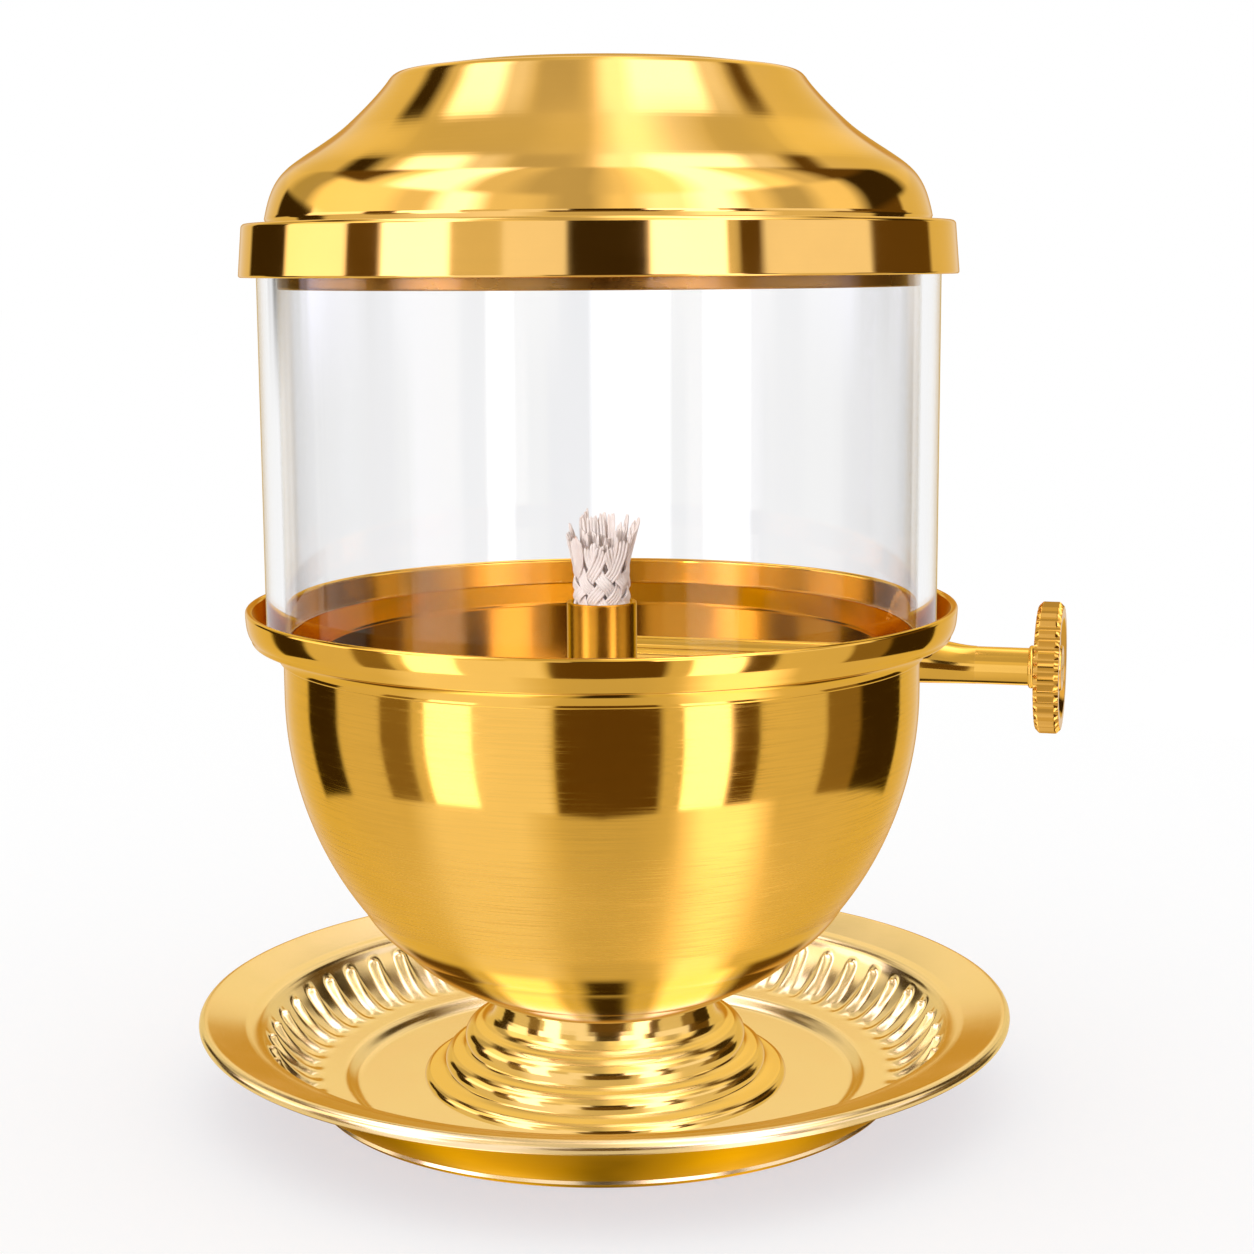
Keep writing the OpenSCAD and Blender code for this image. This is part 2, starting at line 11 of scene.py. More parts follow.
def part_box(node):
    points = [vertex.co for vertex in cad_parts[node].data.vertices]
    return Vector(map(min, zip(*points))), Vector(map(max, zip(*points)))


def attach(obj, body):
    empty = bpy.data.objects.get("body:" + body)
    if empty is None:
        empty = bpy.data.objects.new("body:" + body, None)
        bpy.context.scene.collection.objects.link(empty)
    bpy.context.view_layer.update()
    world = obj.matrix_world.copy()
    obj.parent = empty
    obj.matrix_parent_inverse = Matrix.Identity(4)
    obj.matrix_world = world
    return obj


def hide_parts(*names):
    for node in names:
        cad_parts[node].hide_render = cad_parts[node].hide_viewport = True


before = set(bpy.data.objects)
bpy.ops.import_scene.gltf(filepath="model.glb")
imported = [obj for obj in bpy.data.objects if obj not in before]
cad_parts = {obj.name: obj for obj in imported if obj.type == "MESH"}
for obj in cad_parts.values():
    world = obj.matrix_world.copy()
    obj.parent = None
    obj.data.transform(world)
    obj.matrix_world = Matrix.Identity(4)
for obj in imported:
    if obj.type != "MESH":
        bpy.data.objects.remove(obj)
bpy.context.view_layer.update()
mm = 0.001


# The camera stands a little to the right of the lamp's front and looks slightly down on it.
# Its place and lens were solved from the ellipses of the lid, the gallery and the plate.
camera_turn = math.radians(14.5)
camera_distance = 382.4 * mm
camera_aside = 4.14 * mm
camera_height = 137.55 * mm
camera_pitch = 0.1543
camera_roll = -0.0062

across = Vector((math.cos(camera_turn), math.sin(camera_turn), 0))
outward = Vector((math.sin(camera_turn), -math.cos(camera_turn), 0))
look = -outward * math.cos(camera_pitch) - Vector((0, 0, math.sin(camera_pitch)))
upward = across.cross(look)
right = across * math.cos(camera_roll) + upward * math.sin(camera_roll)
top = upward * math.cos(camera_roll) - across * math.sin(camera_roll)
place = outward * camera_distance + across * camera_aside + Vector((0, 0, camera_height))

camera_data = bpy.data.cameras.new("camera")
camera_data.lens = 66.97
camera_data.sensor_width = 36
camera_data.clip_start = 0.01
camera = bpy.data.objects.new("camera", camera_data)
camera.matrix_world = Matrix((
    (right.x, top.x, -look.x, place.x),
    (right.y, top.y, -look.y, place.y),
    (right.z, top.z, -look.z, place.z),
    (0, 0, 0, 1),
))
bpy.context.scene.collection.objects.link(camera)
bpy.context.scene.camera = camera
bpy.context.scene.view_settings.view_transform = "Standard"


# The studio is a white table and backdrop with soft boxes and black flags standing round the lamp.
# Mirror reflections show the boxes and flags, and everything else is lit by an even white dome.
# Brass and cotton are kept out of each other's mirror images, so that gold in gold doesn't turn orange.
class Wire:
    """An output socket of a node tree, used in Python expressions."""

    def __init__(self, tree, socket=None):
        self.tree = tree
        self.socket = socket

    def node(self, kind, settings=None, values=None, out=0):
        """Adds a node, sets its settings, then gives its sockets their values or links."""
        added = self.tree.nodes.new(kind)
        for name, setting in (settings or {}).items():
            if name == "stops":
                self.fill_ramp(added.color_ramp, setting)
            else:
                setattr(added, name, setting)
        for key, value in (values or {}).items():
            if isinstance(value, Wire):
                self.tree.links.new(value.socket, added.inputs[key])
            else:
                added.inputs[key].default_value = value
        return Wire(self.tree, added.outputs[out]) if added.outputs else None

    @staticmethod
    def fill_ramp(ramp, stops):
        """Gives a colour ramp its stops: a position, and a colour or a grey."""
        while len(ramp.elements) < len(stops):
            ramp.elements.new(1)
        for element, (position, tone) in zip(ramp.elements, stops):
            element.position = position
            element.color = tone if isinstance(tone, tuple) else (tone, tone, tone, 1)

    def beside(self, name):
        """Another output of the same node."""
        return Wire(self.tree, self.socket.node.outputs[name])

    def math(self, operation, *values):
        """The result of one operation on wires and numbers."""
        return self.node("ShaderNodeMath", {"operation": operation}, dict(enumerate(values)))

    def ease(self, low, high):
        """Rises smoothly from 0 at low to 1 at high."""
        values = {"Value": self, "From Min": low, "From Max": high}
        return self.node("ShaderNodeMapRange", {"interpolation_type": "SMOOTHSTEP"}, values)

    def tint(self, low, high):
        """Blends two colours: low where this is 0 and high where it is 1."""
        return self.node("ShaderNodeMix", {"data_type": "RGBA"}, {0: self, 6: low, 7: high}, 2)

    def along(self, direction):
        """How far this vector reaches along a direction."""
        values = {0: self, 1: direction}
        return self.node("ShaderNodeVectorMath", {"operation": "DOT_PRODUCT"}, values, "Value")

    def __add__(self, other):
        return self.math("ADD", self, other)

    def __sub__(self, other):
        return self.math("SUBTRACT", self, other)

    def __rsub__(self, other):
        return self.math("SUBTRACT", other, self)

    def __mul__(self, other):
        return self.math("MULTIPLY", self, other)

    def __truediv__(self, other):
        return self.math("DIVIDE", self, other)

    def __rtruediv__(self, other):
        return self.math("DIVIDE", other, self)

    def __pow__(self, other):
        return self.math("POWER", self, other)

    def __abs__(self):
        return self.math("ABSOLUTE", self)

    __radd__ = __add__
    __rmul__ = __mul__


def cards(rest, spans, soft):
    """Ramp stops once round the lamp: cards of a tone from one angle to another, in degrees."""
    edges = []
    reached = -180
    for start, stop, tone in spans:
        if start > reached:
            edges.append((reached, rest))
        edges.append((start, tone))
        reached = stop
    if reached < 180:
        edges.append((reached, rest))
    stops = [(0, edges[0][1])]
    for (_, before), (angle, after) in zip(edges, edges[1:]):
        stops.append(((angle - soft / 2 + 180) / 360, before))
        stops.append(((angle + soft / 2 + 180) / 360, after))
    return stops


black = (0.05, 0.034, 0.012, 1)
brown = (0.15, 0.095, 0.03, 1)
dim = (0.32, 0.25, 0.14, 1)
mid = 0.92
pale = (1.25, 1.35, 2.0, 1)
glow = (2.2, 2.2, 3.2, 1)
box = (3.5, 3.5, 6, 1)
white = (1, 1, 1, 1)
roof = (1.1, 1.1, 1.1, 1)
back_gold = (0.66, 0.42, 0.1, 1)

# Each row of cards says where a card starts and stops, in degrees to the right of the front, and its tone.
waist_cards = [
    (-128, -107, black), (-84, -70, dim), (-64, -46, box), (-46, -18, pale), (-16, 21, brown),
    (29, 46, box), (46, 57, brown), (86, 104, dim), (104, 133, black),
]
eye_cards = [
    (-142, -114, black), (-114, -84, glow), (-84, -70, brown), (-70, -46, box), (-29, -9, pale),
    (-9, 16, black), (16, 40, box), (44, 52, brown), (52, 94, pale), (94, 128, brown),
]
head_cards = [
    (-140, -118, 0.6), (-118, -76, 1.6), (-76, -58, 1.2), (-58, -42, box), (-42, -22, 1.15), (-16, 2, 0.72),
    (2, 16, 1.35), (16, 34, glow), (34, 50, box), (50, 64, 1.3), (64, 82, 0.68), (82, 104, 1.3),
    (104, 138, black),
]
brow_cards = [
    (-132, -98, brown), (-98, -84, 1.6), (-84, -52, box), (-52, -30, 1.05), (-30, 2, 0.72), (2, 16, 1.25),
    (16, 36, 1.9), (36, 62, box), (62, 80, 1.7), (80, 98, 0.95), (98, 136, brown),
]
crown_cards = [
    (-53, -44, black), (-38, -25, box), (-25, -18, pale), (-16, -4, 0.72), (0, 8, glow), (8, 27, box),
    (27, 34, pale), (37, 44, brown),
]
slope_cards = [
    (-90, -48, 1.1), (-44, -12, 0.82), (1, 13, glow), (13, 21, pale), (24, 37, 0.82), (42, 90, 1.15),
]
belly_cards = [(-33, -11, pale), (-8, 9, 0.8), (15, 29, glow)]
hull_cards = [(-56, -37, brown), (-30, -14, glow), (-6, 6, black), (15, 33, glow), (38, 56, brown)]
table_edge = math.radians(-33.5)
table_edge_rise = 0.16
table_edge_soft = 0.01

# Through the glass the backdrop is a pale grey panel with three brighter cards, and darker to the sides.
panel_tone = 0.89
panel_side = (0.5, 0.51, 0.52, 1)
panel_cards = [(-0.073, -0.058), (-0.016, 0.027), (0.046, 0.074)]
panel_card_tone = 1.08
panel_card_soft = 0.002

world = bpy.data.worlds.new("studio")
world.use_nodes = True
world.node_tree.nodes.clear()
world.cycles.sampling_method = "NONE"
bpy.context.scene.world = world
bpy.context.scene.cycles.glossy_bounces = 10
bpy.context.scene.cycles.max_bounces = 20

wick_level = 92 * mm
aim = Vector((0, 0, wick_level))
lamp_gap = 0.35
lamp_from = outward * 0.8 - across * 0.52 + Vector((0, 0, 0.24))
wick_lamp = bpy.data.lights.new("wick_lamp", "SPOT")
wick_lamp.energy = 9.0
wick_lamp.spot_size = math.radians(6)
wick_lamp.spot_blend = 0.6
wick_lamp.shadow_soft_size = 0.03
spot_lamp = bpy.data.objects.new("wick_lamp", wick_lamp)
spot_lamp.location = aim + lamp_from.normalized() * lamp_gap
spot_lamp.rotation_euler = lamp_from.to_track_quat("Z", "Y").to_euler()
spot_lamp.visible_glossy = False
bpy.context.scene.collection.objects.link(spot_lamp)

way = Wire(world.node_tree).node("ShaderNodeTexCoord", out="Generated")
height = way.along((0, 0, 1))
sideways = way.along(across)
facing = way.along(outward)
turn = way.math("ARCTAN2", sideways, facing)
turn_share = turn / (2 * math.pi) + 0.5

# The turn and rise of a mirror that would show this direction to the front. They have no seam overhead.
mirror_turn = way.math("ARCTAN2", sideways, facing + 1)
mirror_share = mirror_turn / (2 * math.pi) + 0.5
mirror_rise = height / ((facing + 1) * 2 + 1e-4) ** 0.5


def row(spans, rest=mid, soft=1.4, around=turn_share):
    """One row of cards round the lamp."""
    return way.node("ShaderNodeValToRGB", {"stops": cards(rest, spans, soft)}, {"Fac": around})


def above(low, high, level=height):
    """Rises from 0 to 1 between two elevations, in degrees."""
    return level.ease(math.sin(math.radians(low)), math.sin(math.radians(high)))


def away(low, high):
    """Rises from 0 to 1 between two angles away from the front, in degrees, to both sides."""
    return abs(turn).ease(math.radians(low), math.radians(high))


studio = above(-4, 1).tint(row(waist_cards), row(eye_cards))
studio = above(13, 16).tint(studio, row(head_cards, 1.0, 9))
studio = above(31, 36).tint(studio, row(brow_cards, 1.0, 12))
studio = above(34, 38, mirror_rise).tint(studio, row(crown_cards, 0.95, 4, mirror_share))
studio = above(46, 55, mirror_rise).tint(studio, row(slope_cards, 0.92, 8, mirror_share))
studio = above(66, 74, mirror_rise).tint(studio, roof)
hull_row = row(hull_cards, 0.9, 4, mirror_share)
belly_row = row(belly_cards, 0.93, 6, mirror_share)
below = above(-54, -48, mirror_rise).tint(hull_row, belly_row)
table_line = abs(turn) * (table_edge_rise / 2) + math.sin(table_edge)
studio = (height - table_line).ease(-table_edge_soft, table_edge_soft).tint(below, studio)
behind = away(158, 168) * above(-40, -32) * (1 - above(14.5, 17.5))
studio = behind.tint(studio, back_gold)

path = way.node("ShaderNodeLightPath", out="Glossy Depth")
not_diffuse = 1 - path.beside("Is Diffuse Ray")
mirrored = path.math("GREATER_THAN", path, 0.5) * not_diffuse
bent = path.math("GREATER_THAN", path.beside("Transmission Depth"), 0.5) * not_diffuse
panel = panel_tone
for start, stop in panel_cards:
    begun = sideways.ease(start - panel_card_soft, start + panel_card_soft)
    ended = sideways.ease(stop - panel_card_soft, stop + panel_card_soft)
    panel = (begun - ended) * (panel_card_tone - panel_tone) + panel
panel_color = panel.node("ShaderNodeCombineXYZ", None, {0: panel, 1: panel, 2: panel})
aside = away(30, 55) - away(95, 140)
plain = bent.tint(white, aside.tint(panel_color, panel_side))
background = way.node("ShaderNodeBackground", None, {"Color": mirrored.tint(plain, studio), "Strength": 1})
way.node("ShaderNodeOutputWorld", None, {"Surface": background})


def finish_material(name):
    """A new material with only a Principled shader, and the wire to add nodes with."""
    material = bpy.data.materials.new(name)
    material.use_nodes = True
    shader = material.node_tree.nodes["Principled BSDF"]
    return material, Wire(material.node_tree), shader.inputs


def feed(sockets, **values):
    """Sets a shader's sockets by name, with underscores for spaces, to values or wires."""
    for name, value in values.items():
        socket = sockets[name.replace("_", " ")]
        if isinstance(value, Wire):
            value.tree.links.new(value.socket, socket)
        else:
            socket.default_value = value


def mix_in(material, part, other):
    """Lets another shader show in a part of a material."""
    nodes = material.node_tree.nodes
    own = Wire(material.node_tree, nodes["Principled BSDF"].outputs[0])
    mixed = own.node("ShaderNodeMixShader", None, {0: part, 1: own, 2: other})
    material.node_tree.links.new(mixed.socket, nodes["Material Output"].inputs["Surface"])


table_half = 6.0
table_drop = 0.2 * mm
table_gray = (0.5, 0.44, 0.36, 1)
table_fill = (0.5, 0.56, 0.64, 1)
table_mesh = bpy.data.meshes.new("table")
table_mesh.from_pydata(
    [(x * table_half, y * table_half, -table_drop) for x, y in ((-1, -1), (1, -1), (1, 1), (-1, 1))],
    [],
    [(0, 1, 2, 3)],
)
table = bpy.data.objects.new("table", table_mesh)
table_white, wire, sockets = finish_material("table_white")
path = wire.node("ShaderNodeLightPath", out="Is Camera Ray")
feed(
    sockets,
    Base_Color=path.tint(white, table_gray),
    Roughness=1.0,
    Specular_IOR_Level=0.0,
    Emission_Color=path.tint((0, 0, 0, 1), table_fill),
    Emission_Strength=1.0,
)
mix_in(table_white, path.beside("Is Glossy Ray"), wire.node("ShaderNodeBsdfTransparent"))
table_mesh.materials.append(table_white)
bpy.context.scene.collection.objects.link(table)


# The drip plate is spun from sheet brass: a flat rim with a rolled edge, a fluted well, a ledge and a
# sunk floor with a raised hub. The flutes are pressed in, and the through bolt holds it to the foot.
def bend(a, b, c, d, steps=14):
    """Points on a curve from a to d with b and c as its handles."""
    points = []
    for i in range(steps + 1):
        t = i / steps
        s = 1 - t
        weights = (s ** 3, 3 * s * s * t, 3 * s * t * t, t ** 3)
        points.append(tuple(sum(w * p[k] for w, p in zip(weights, (a, b, c, d))) for k in (0, 1)))
    return points


def arc(centre, radius, start, stop, steps=8):
    """Points on a round from one angle to another, in degrees."""
    angles = [math.radians(start + (stop - start) * i / steps) for i in range(steps + 1)]
    return [(centre[0] + radius * math.cos(a), centre[1] + radius * math.sin(a)) for a in angles]


def even(points, count):
    """The same path as a number of points at even steps along it."""
    points = [Vector(p) for p in points]
    marks = [0]
    for a, b in zip(points, points[1:]):
        marks.append(marks[-1] + (b - a).length)
    result = []
    for i in range(count):
        at = marks[-1] * i / (count - 1)
        k = max(j for j in range(len(marks) - 1) if marks[j] <= at + 1e-9)
        part = (at - marks[k]) / max(marks[k + 1] - marks[k], 1e-9)
        result.append(tuple(points[k].lerp(points[k + 1], part)))
    return result


def eased(outline, steps=5):
    """A closed outline with a round at each corner that has a third number, the round's radius."""
    points = []
    for i, corner in enumerate(outline):
        here = Vector(corner[:2])
        if len(corner) == 2:
            points.append(here)
            continue
        back = (Vector(outline[i - 1][:2]) - here).normalized()
        on = (Vector(outline[(i + 1) % len(outline)][:2]) - here).normalized()
        half = back.angle(on) / 2
        centre = here + (back + on).normalized() * corner[2] / math.sin(half)
        start = here + back * corner[2] / math.tan(half) - centre
        stop = here + on * corner[2] / math.tan(half) - centre
        for k in range(steps + 1):
            points.append(centre + start.lerp(stop, k / steps).normalized() * corner[2])
    return points


def braced(points, margin=0.15):
    """The outline with extra points close to the ends of its long straights, which keeps them flat."""
    result = []
    for here, after in zip(points, points[1:] + points[:1]):
        result.append(here)
        run = after - here
        if run.length > 4 * margin:
            result.append(here + run.normalized() * margin)
            result.append(after - run.normalized() * margin)
    return result


def lathe(name, outline, turns=240, keep=False, ridges=0):
    """Turns an outline, in mm, round the lamp's axis into a closed shape, with more points at ridges."""
    crowding = 0.6
    profile = [Vector(p[:2]) for p in outline] if keep else braced(eased(outline))
    points = []
    rings = []
    for radius, level in profile:
        count = turns if radius > 1e-6 else 1
        rings.append(range(len(points), len(points) + count))
        for i in range(count):
            angle = 2 * math.pi * i / turns
            if ridges:
                angle -= crowding / ridges * math.sin(ridges * angle)
            points.append((radius * mm * math.cos(angle), radius * mm * math.sin(angle), level * mm))
    faces = []
    for ring, after in zip(rings, rings[1:] + rings[:1]):
        if len(ring) == len(after) == 1:
            continue
        for i in range(turns):
            j = (i + 1) % turns
            near = (ring[i % len(ring)], ring[j % len(ring)])
            far = (after[j % len(after)], after[i % len(after)])
            faces.append(tuple(dict.fromkeys(near + far)))
    mesh = bpy.data.meshes.new(name)
    mesh.from_pydata(points, [], faces)
    return smooth(name, mesh)


def smooth(name, mesh, sharp=38):
    """Turns a closed mesh's faces outwards, shades it smooth, and makes its object, unseen in mirrors."""
    shape = bmesh.new()
    shape.from_mesh(mesh)
    bmesh.ops.recalc_face_normals(shape, faces=shape.faces)
    shape.to_mesh(mesh)
    shape.free()
    mesh.shade_smooth()
    mesh.set_sharp_from_angle(angle=math.radians(sharp))
    piece = bpy.data.objects.new(name, mesh)
    piece.visible_glossy = False
    bpy.context.scene.collection.objects.link(piece)
    return piece


def reach(node):
    """A node's greatest radius from the lamp's axis, its lowest and its highest level, in mm."""
    low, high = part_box(node)
    return high.y / mm, low.z / mm, high.z / mm


def recipe(name, sizes):
    """A new geometry tree with named inputs, and the wires of those inputs."""
    tree = bpy.data.node_groups.new(name, "GeometryNodeTree")
    kinds = {"Geometry": "NodeSocketGeometry", "Material": "NodeSocketMaterial", **sizes}
    for title, kind in kinds.items():
        tree.interface.new_socket(title, in_out="INPUT", socket_type=kind)
    tree.interface.new_socket("Geometry", in_out="OUTPUT", socket_type="NodeSocketGeometry")
    entry = Wire(tree).node("NodeGroupInput")
    return tree, {title: entry.beside(title) for title in kinds}


def close_recipe(geometry, given):
    """Ends a geometry tree: instances become real and take the material."""
    real = geometry.node("GeometryNodeRealizeInstances", None, {"Geometry": geometry})
    dressed = real.node("GeometryNodeSetMaterial", None, {"Geometry": real, "Material": given["Material"]})
    dressed.node("NodeGroupOutput", None, {"Geometry": dressed})


def grow(piece, tree, sharp=38, **inputs):
    """Runs a geometry tree on a piece and keeps the result as the piece's plain mesh, shaded smooth."""
    modifier = piece.modifiers.new(tree.name, "NODES")
    modifier.node_group = tree
    for item in tree.interface.items_tree:
        if item.in_out == "INPUT" and item.name in inputs:
            modifier[item.identifier] = inputs[item.name]
    depsgraph = bpy.context.evaluated_depsgraph_get()
    result = bpy.data.meshes.new_from_object(piece.evaluated_get(depsgraph))
    piece.modifiers.remove(modifier)
    result.name = piece.name
    result.shade_smooth()
    result.set_sharp_from_angle(angle=math.radians(sharp))
    piece.data = result


# A ring of scoops: each point of the turned blank moves from its hollow towards its ridge, by its
# place between two ridges. The blank holds how far away the ridge is and how wide it is at that level.
scooped_ring, given = recipe("scooped_ring", {"Count": "NodeSocketInt", "Sharpness": "NodeSocketFloat"})
spot = given["Geometry"].node("GeometryNodeInputPosition")
parts = spot.node("ShaderNodeSeparateXYZ", None, {0: spot})
flat = parts.math("ARCTAN2", parts.beside("Y"), parts)
pitch = flat * given["Count"] / (2 * math.pi) + 0.5
offset = abs(pitch.math("FRACT", pitch) - 0.5)


def stored(name, wire=spot):
    """A named number that the blank holds at each point."""
    return wire.node("GeometryNodeInputNamedAttribute", {"data_type": "FLOAT"}, {"Name": name})


ridge = offset.math("MINIMUM", offset / stored("half"), 1)
lift = (1 - ridge * ridge) ** given["Sharpness"]
shift = spot.node("ShaderNodeCombineXYZ", None, {
    "X": flat.math("COSINE", flat) * stored("out") * lift,
    "Y": flat.math("SINE", flat) * stored("out") * lift,
    "Z": stored("up") * lift,
})
moved = spot.node("GeometryNodeSetPosition", None, {"Geometry": given["Geometry"], "Offset": shift})
close_recipe(moved, given)


def store(piece, turns, name, values):
    """Keeps one number for each ring of a turned blank."""
    numbers = [value for value in values for _ in range(turns)]
    piece.data.attributes.new(name, "FLOAT", "POINT").data.foreach_set("value", numbers)


def brass(name, color, polish, smear, groove, lean=0.0, placing=None, brushed=0.0, satin=(0, 1, 2, 3),
          satin_rough=0.0, coat=0.1, brim=(1, 0.8, 0.42, 1)):
    """Turned brass: mirror or satin, with fine lathe lines round its axis and faint rubbed patches."""
    material, wire, sockets = finish_material(name)
    spot = wire.node("ShaderNodeTexCoord", out="Object")
    if placing:
        spot = wire.node("ShaderNodeMapping", {"vector_type": "TEXTURE"}, {"Vector": spot, **placing})
    parts = wire.node("ShaderNodeSeparateXYZ", None, {0: spot})
    x, y, z = parts, parts.beside("Y"), parts.beside("Z")
    radius = (x * x + y * y) ** 0.5 + 1e-6

    def rings(pitch, drift):
        """Noise that is drawn out round the axis: a line every pitch, changing slowly along its length."""
        unrolled = {0: (z + radius * lean) / pitch, 1: x / radius * drift, 2: y / radius * drift}
        place = wire.node("ShaderNodeCombineXYZ", None, unrolled)
        values = {"Vector": place, "Scale": 1, "Detail": 2, "Roughness": 0.6}
        return wire.node("ShaderNodeTexNoise", None, values)

    coarse = rings(0.9 * mm, 1.5)
    fine = rings(0.22 * mm, 5.0)
    lines = coarse * 0.6 + fine * 0.4
    patches = wire.node("ShaderNodeTexNoise", None, {"Vector": spot, "Scale": 60, "Detail": 3})
    worn = patches.ease(0.35, 0.75)
    darker = tuple(c * 0.9 for c in color[:3]) + (1,)
    bump = wire.node("ShaderNodeBump", None, {"Strength": 1, "Distance": groove, "Height": lines}, "Normal")
    rough = worn * smear + lines * (smear * 0.6) + polish
    shade = worn * 0.6 + lines * 0.4
    if brushed:
        start, full, fade, stop = (level * mm for level in satin)
        strokes = rings(0.2 * mm, 3.5).ease(0.48, 0.7)
        band = z.ease(start, full) * (1 - z.ease(fade, stop))
        rough = rough + strokes * (band * 0.6 + 0.4) * brushed + band * satin_rough
        shade = shade - strokes * 1.6
    feed(
        sockets,
        Base_Color=shade.tint(darker, color),
        Metallic=1.0,
        Roughness=rough,
        Specular_Tint=brim,
        Coat_Weight=coat,
        Coat_Roughness=0.03,
        Normal=bump,
    )
    return material


plate_brass = brass("plate_brass", (0.90, 0.62, 0.25, 1), 0.13, 0.10, 1.2e-6, 1.0, brim=(1, 0.86, 0.5, 1))
# The underside under the rim takes a dark brown-gold brass with no coat: painted shade for the shadowed
# table that it faces.
plate_under_painted_shade_brass = brass(
    "plate_under_painted_shade_brass", (0.44, 0.21, 0.02, 1), 0.25, 0.12, 1.5e-6, 1.0, coat=0.0, brim=(1, 0.7, 0.2, 1),
)

plate_r, _, plate_top = reach("plate")
edge_r = 1.1
edge = (plate_r - edge_r, plate_top - edge_r)
lip = (edge[0] - 6.7, plate_top - 2.15)
ledge_z = 3.0
floor_z = 1.2
floor_r = 41.4
base_r = 47.6
hub_r = 13.0
hub_z = 7.4
recess_z = 6.0
bolt_hole_r = 3.05
flute_count = 56
flute_turns = 16 * flute_count
flute_foot = (46.0, ledge_z)
flute_head = (57.3, 10.7)
flute_tip = (55.2, 9.2)

before_flutes = (
    [(bolt_hole_r, recess_z), (bolt_hole_r, hub_z), (hub_r - 1.0, hub_z)]
    + arc((hub_r - 1.0, hub_z - 1.0), 1.0, 80, 10, 4)
    + [(hub_r, floor_z + 0.6)]
    + arc((hub_r + 0.6, floor_z + 0.6), 0.6, 200, 270, 4)
    + [(hub_r + 0.8, floor_z), (floor_r - 0.3, floor_z)]
    + bend((floor_r, floor_z), (floor_r + 1.5, floor_z), (floor_r + 1.6, ledge_z),
           (floor_r + 3, ledge_z), 9)
    + [(floor_r + 3.2, ledge_z)]
)
flute_rows = 30
hollow = even(
    [flute_foot, (49.6, ledge_z)]
    + bend((49.6, ledge_z), (51.8, ledge_z + 0.3), (55.2, 6.4), (57.0, 10.0), 12)
    + [flute_head],
    flute_rows,
)
crest = even(
    [flute_foot]
    + bend((47.6, ledge_z), (50.6, ledge_z + 0.2), (53.7, 6.2), flute_tip, 12)
    + arc((flute_tip[0] + 0.9, flute_tip[1] - 0.1), 0.91, 173, 60, 6)
    + [flute_head],
    flute_rows,
)
after_flutes = (
    bend((57.4, 11.1), (57.6, 12.3), (58.4, 12.7), lip, 8)
    + [(lip[0] + 0.3, lip[1] + 0.09), (edge[0] - 0.5, edge[1] + edge_r * 0.93)]
    + arc(edge, edge_r, 100, -100, 12)
    + [(edge[0] - 0.6, edge[1] - edge_r * 0.9), (60.3, 11.3)]
    + bend((59.5, 10.7), (56.9, 7.1), (52.0, 3.4), (base_r + 1.6, 1.5), 8)
    + arc((base_r, 2.0), 2.0, -30, -90, 4)
    + [(base_r - 0.3, 0.0), (hub_r - 1.2, 0.0), (hub_r - 1.4, 0.2), (hub_r - 1.4, recess_z)]
)
plate_outline = before_flutes + hollow + after_flutes
plate = lathe("plate_spun", plate_outline, flute_turns, keep=True, ridges=flute_count)


def in_well(name, values, elsewhere):
    """Keeps a number for each ring of the fluted well, and one number for all other rings."""
    before = [elsewhere] * len(before_flutes)
    after = [elsewhere] * len(after_flutes)
    store(plate, flute_turns, name, before + values + after)


crest_low, crest_high = 0.40, 0.21
narrowing = [min(1, i / (flute_rows - 1) * 1.15) for i in range(flute_rows)]
in_well("out", [(c[0] - h[0]) * mm for h, c in zip(hollow, crest)], 0.0)
in_well("up", [(c[1] - h[1]) * mm for h, c in zip(hollow, crest)], 0.0)
in_well("half", [crest_low + (crest_high - crest_low) * part for part in narrowing], 0.5)
grow(plate, scooped_ring, 50, Count=flute_count, Sharpness=1.3, Material=plate_brass)


def finish_where(piece, material, chosen):
    """Gives a second material, a darker brass that paints shade, to faces chosen by their radius and level,
    in mm, and how far they face up.
    """
    piece.data.materials.append(material)
    for face in piece.data.polygons:
        if chosen(math.hypot(face.center.x, face.center.y) / mm, face.center.z / mm, face.normal.z):
            face.material_index = len(piece.data.materials) - 1


def under_rim(radius, level, up):
    """The plate's underside, outside the ring that it stands on, where shade is painted."""
    return base_r - 0.5 < radius < edge[0] and up < -0.2


finish_where(plate, plate_under_painted_shade_brass, under_rim)
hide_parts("plate")
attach(plate, "base")


# The foot is turned from solid brass: a short neck under the bowl, then three rounded tiers that
# widen to the plate. It is hollow underneath and stands in the middle of the plate's floor.
foot_brass = brass("foot_brass", (0.84, 0.5, 0.11, 1), 0.08, 0.05, 0.5e-6, 0.3)


def tier(start, radius, upper, lower):
    """One tier of the foot: a cove out from the tier above, then a full round over its edge."""
    over, under = 78, 35
    swell = (upper - lower) / (math.sin(math.radians(over)) + math.sin(math.radians(under)))
    bulge = arc((radius - swell, lower + swell * math.sin(math.radians(under))), swell, over, -under, 12)
    cove = bend(start, (start[0] + 0.1, upper + 0.1), (bulge[0][0] - 1.2, upper - 0.05), bulge[0], 12)
    return cove[:-1] + bulge


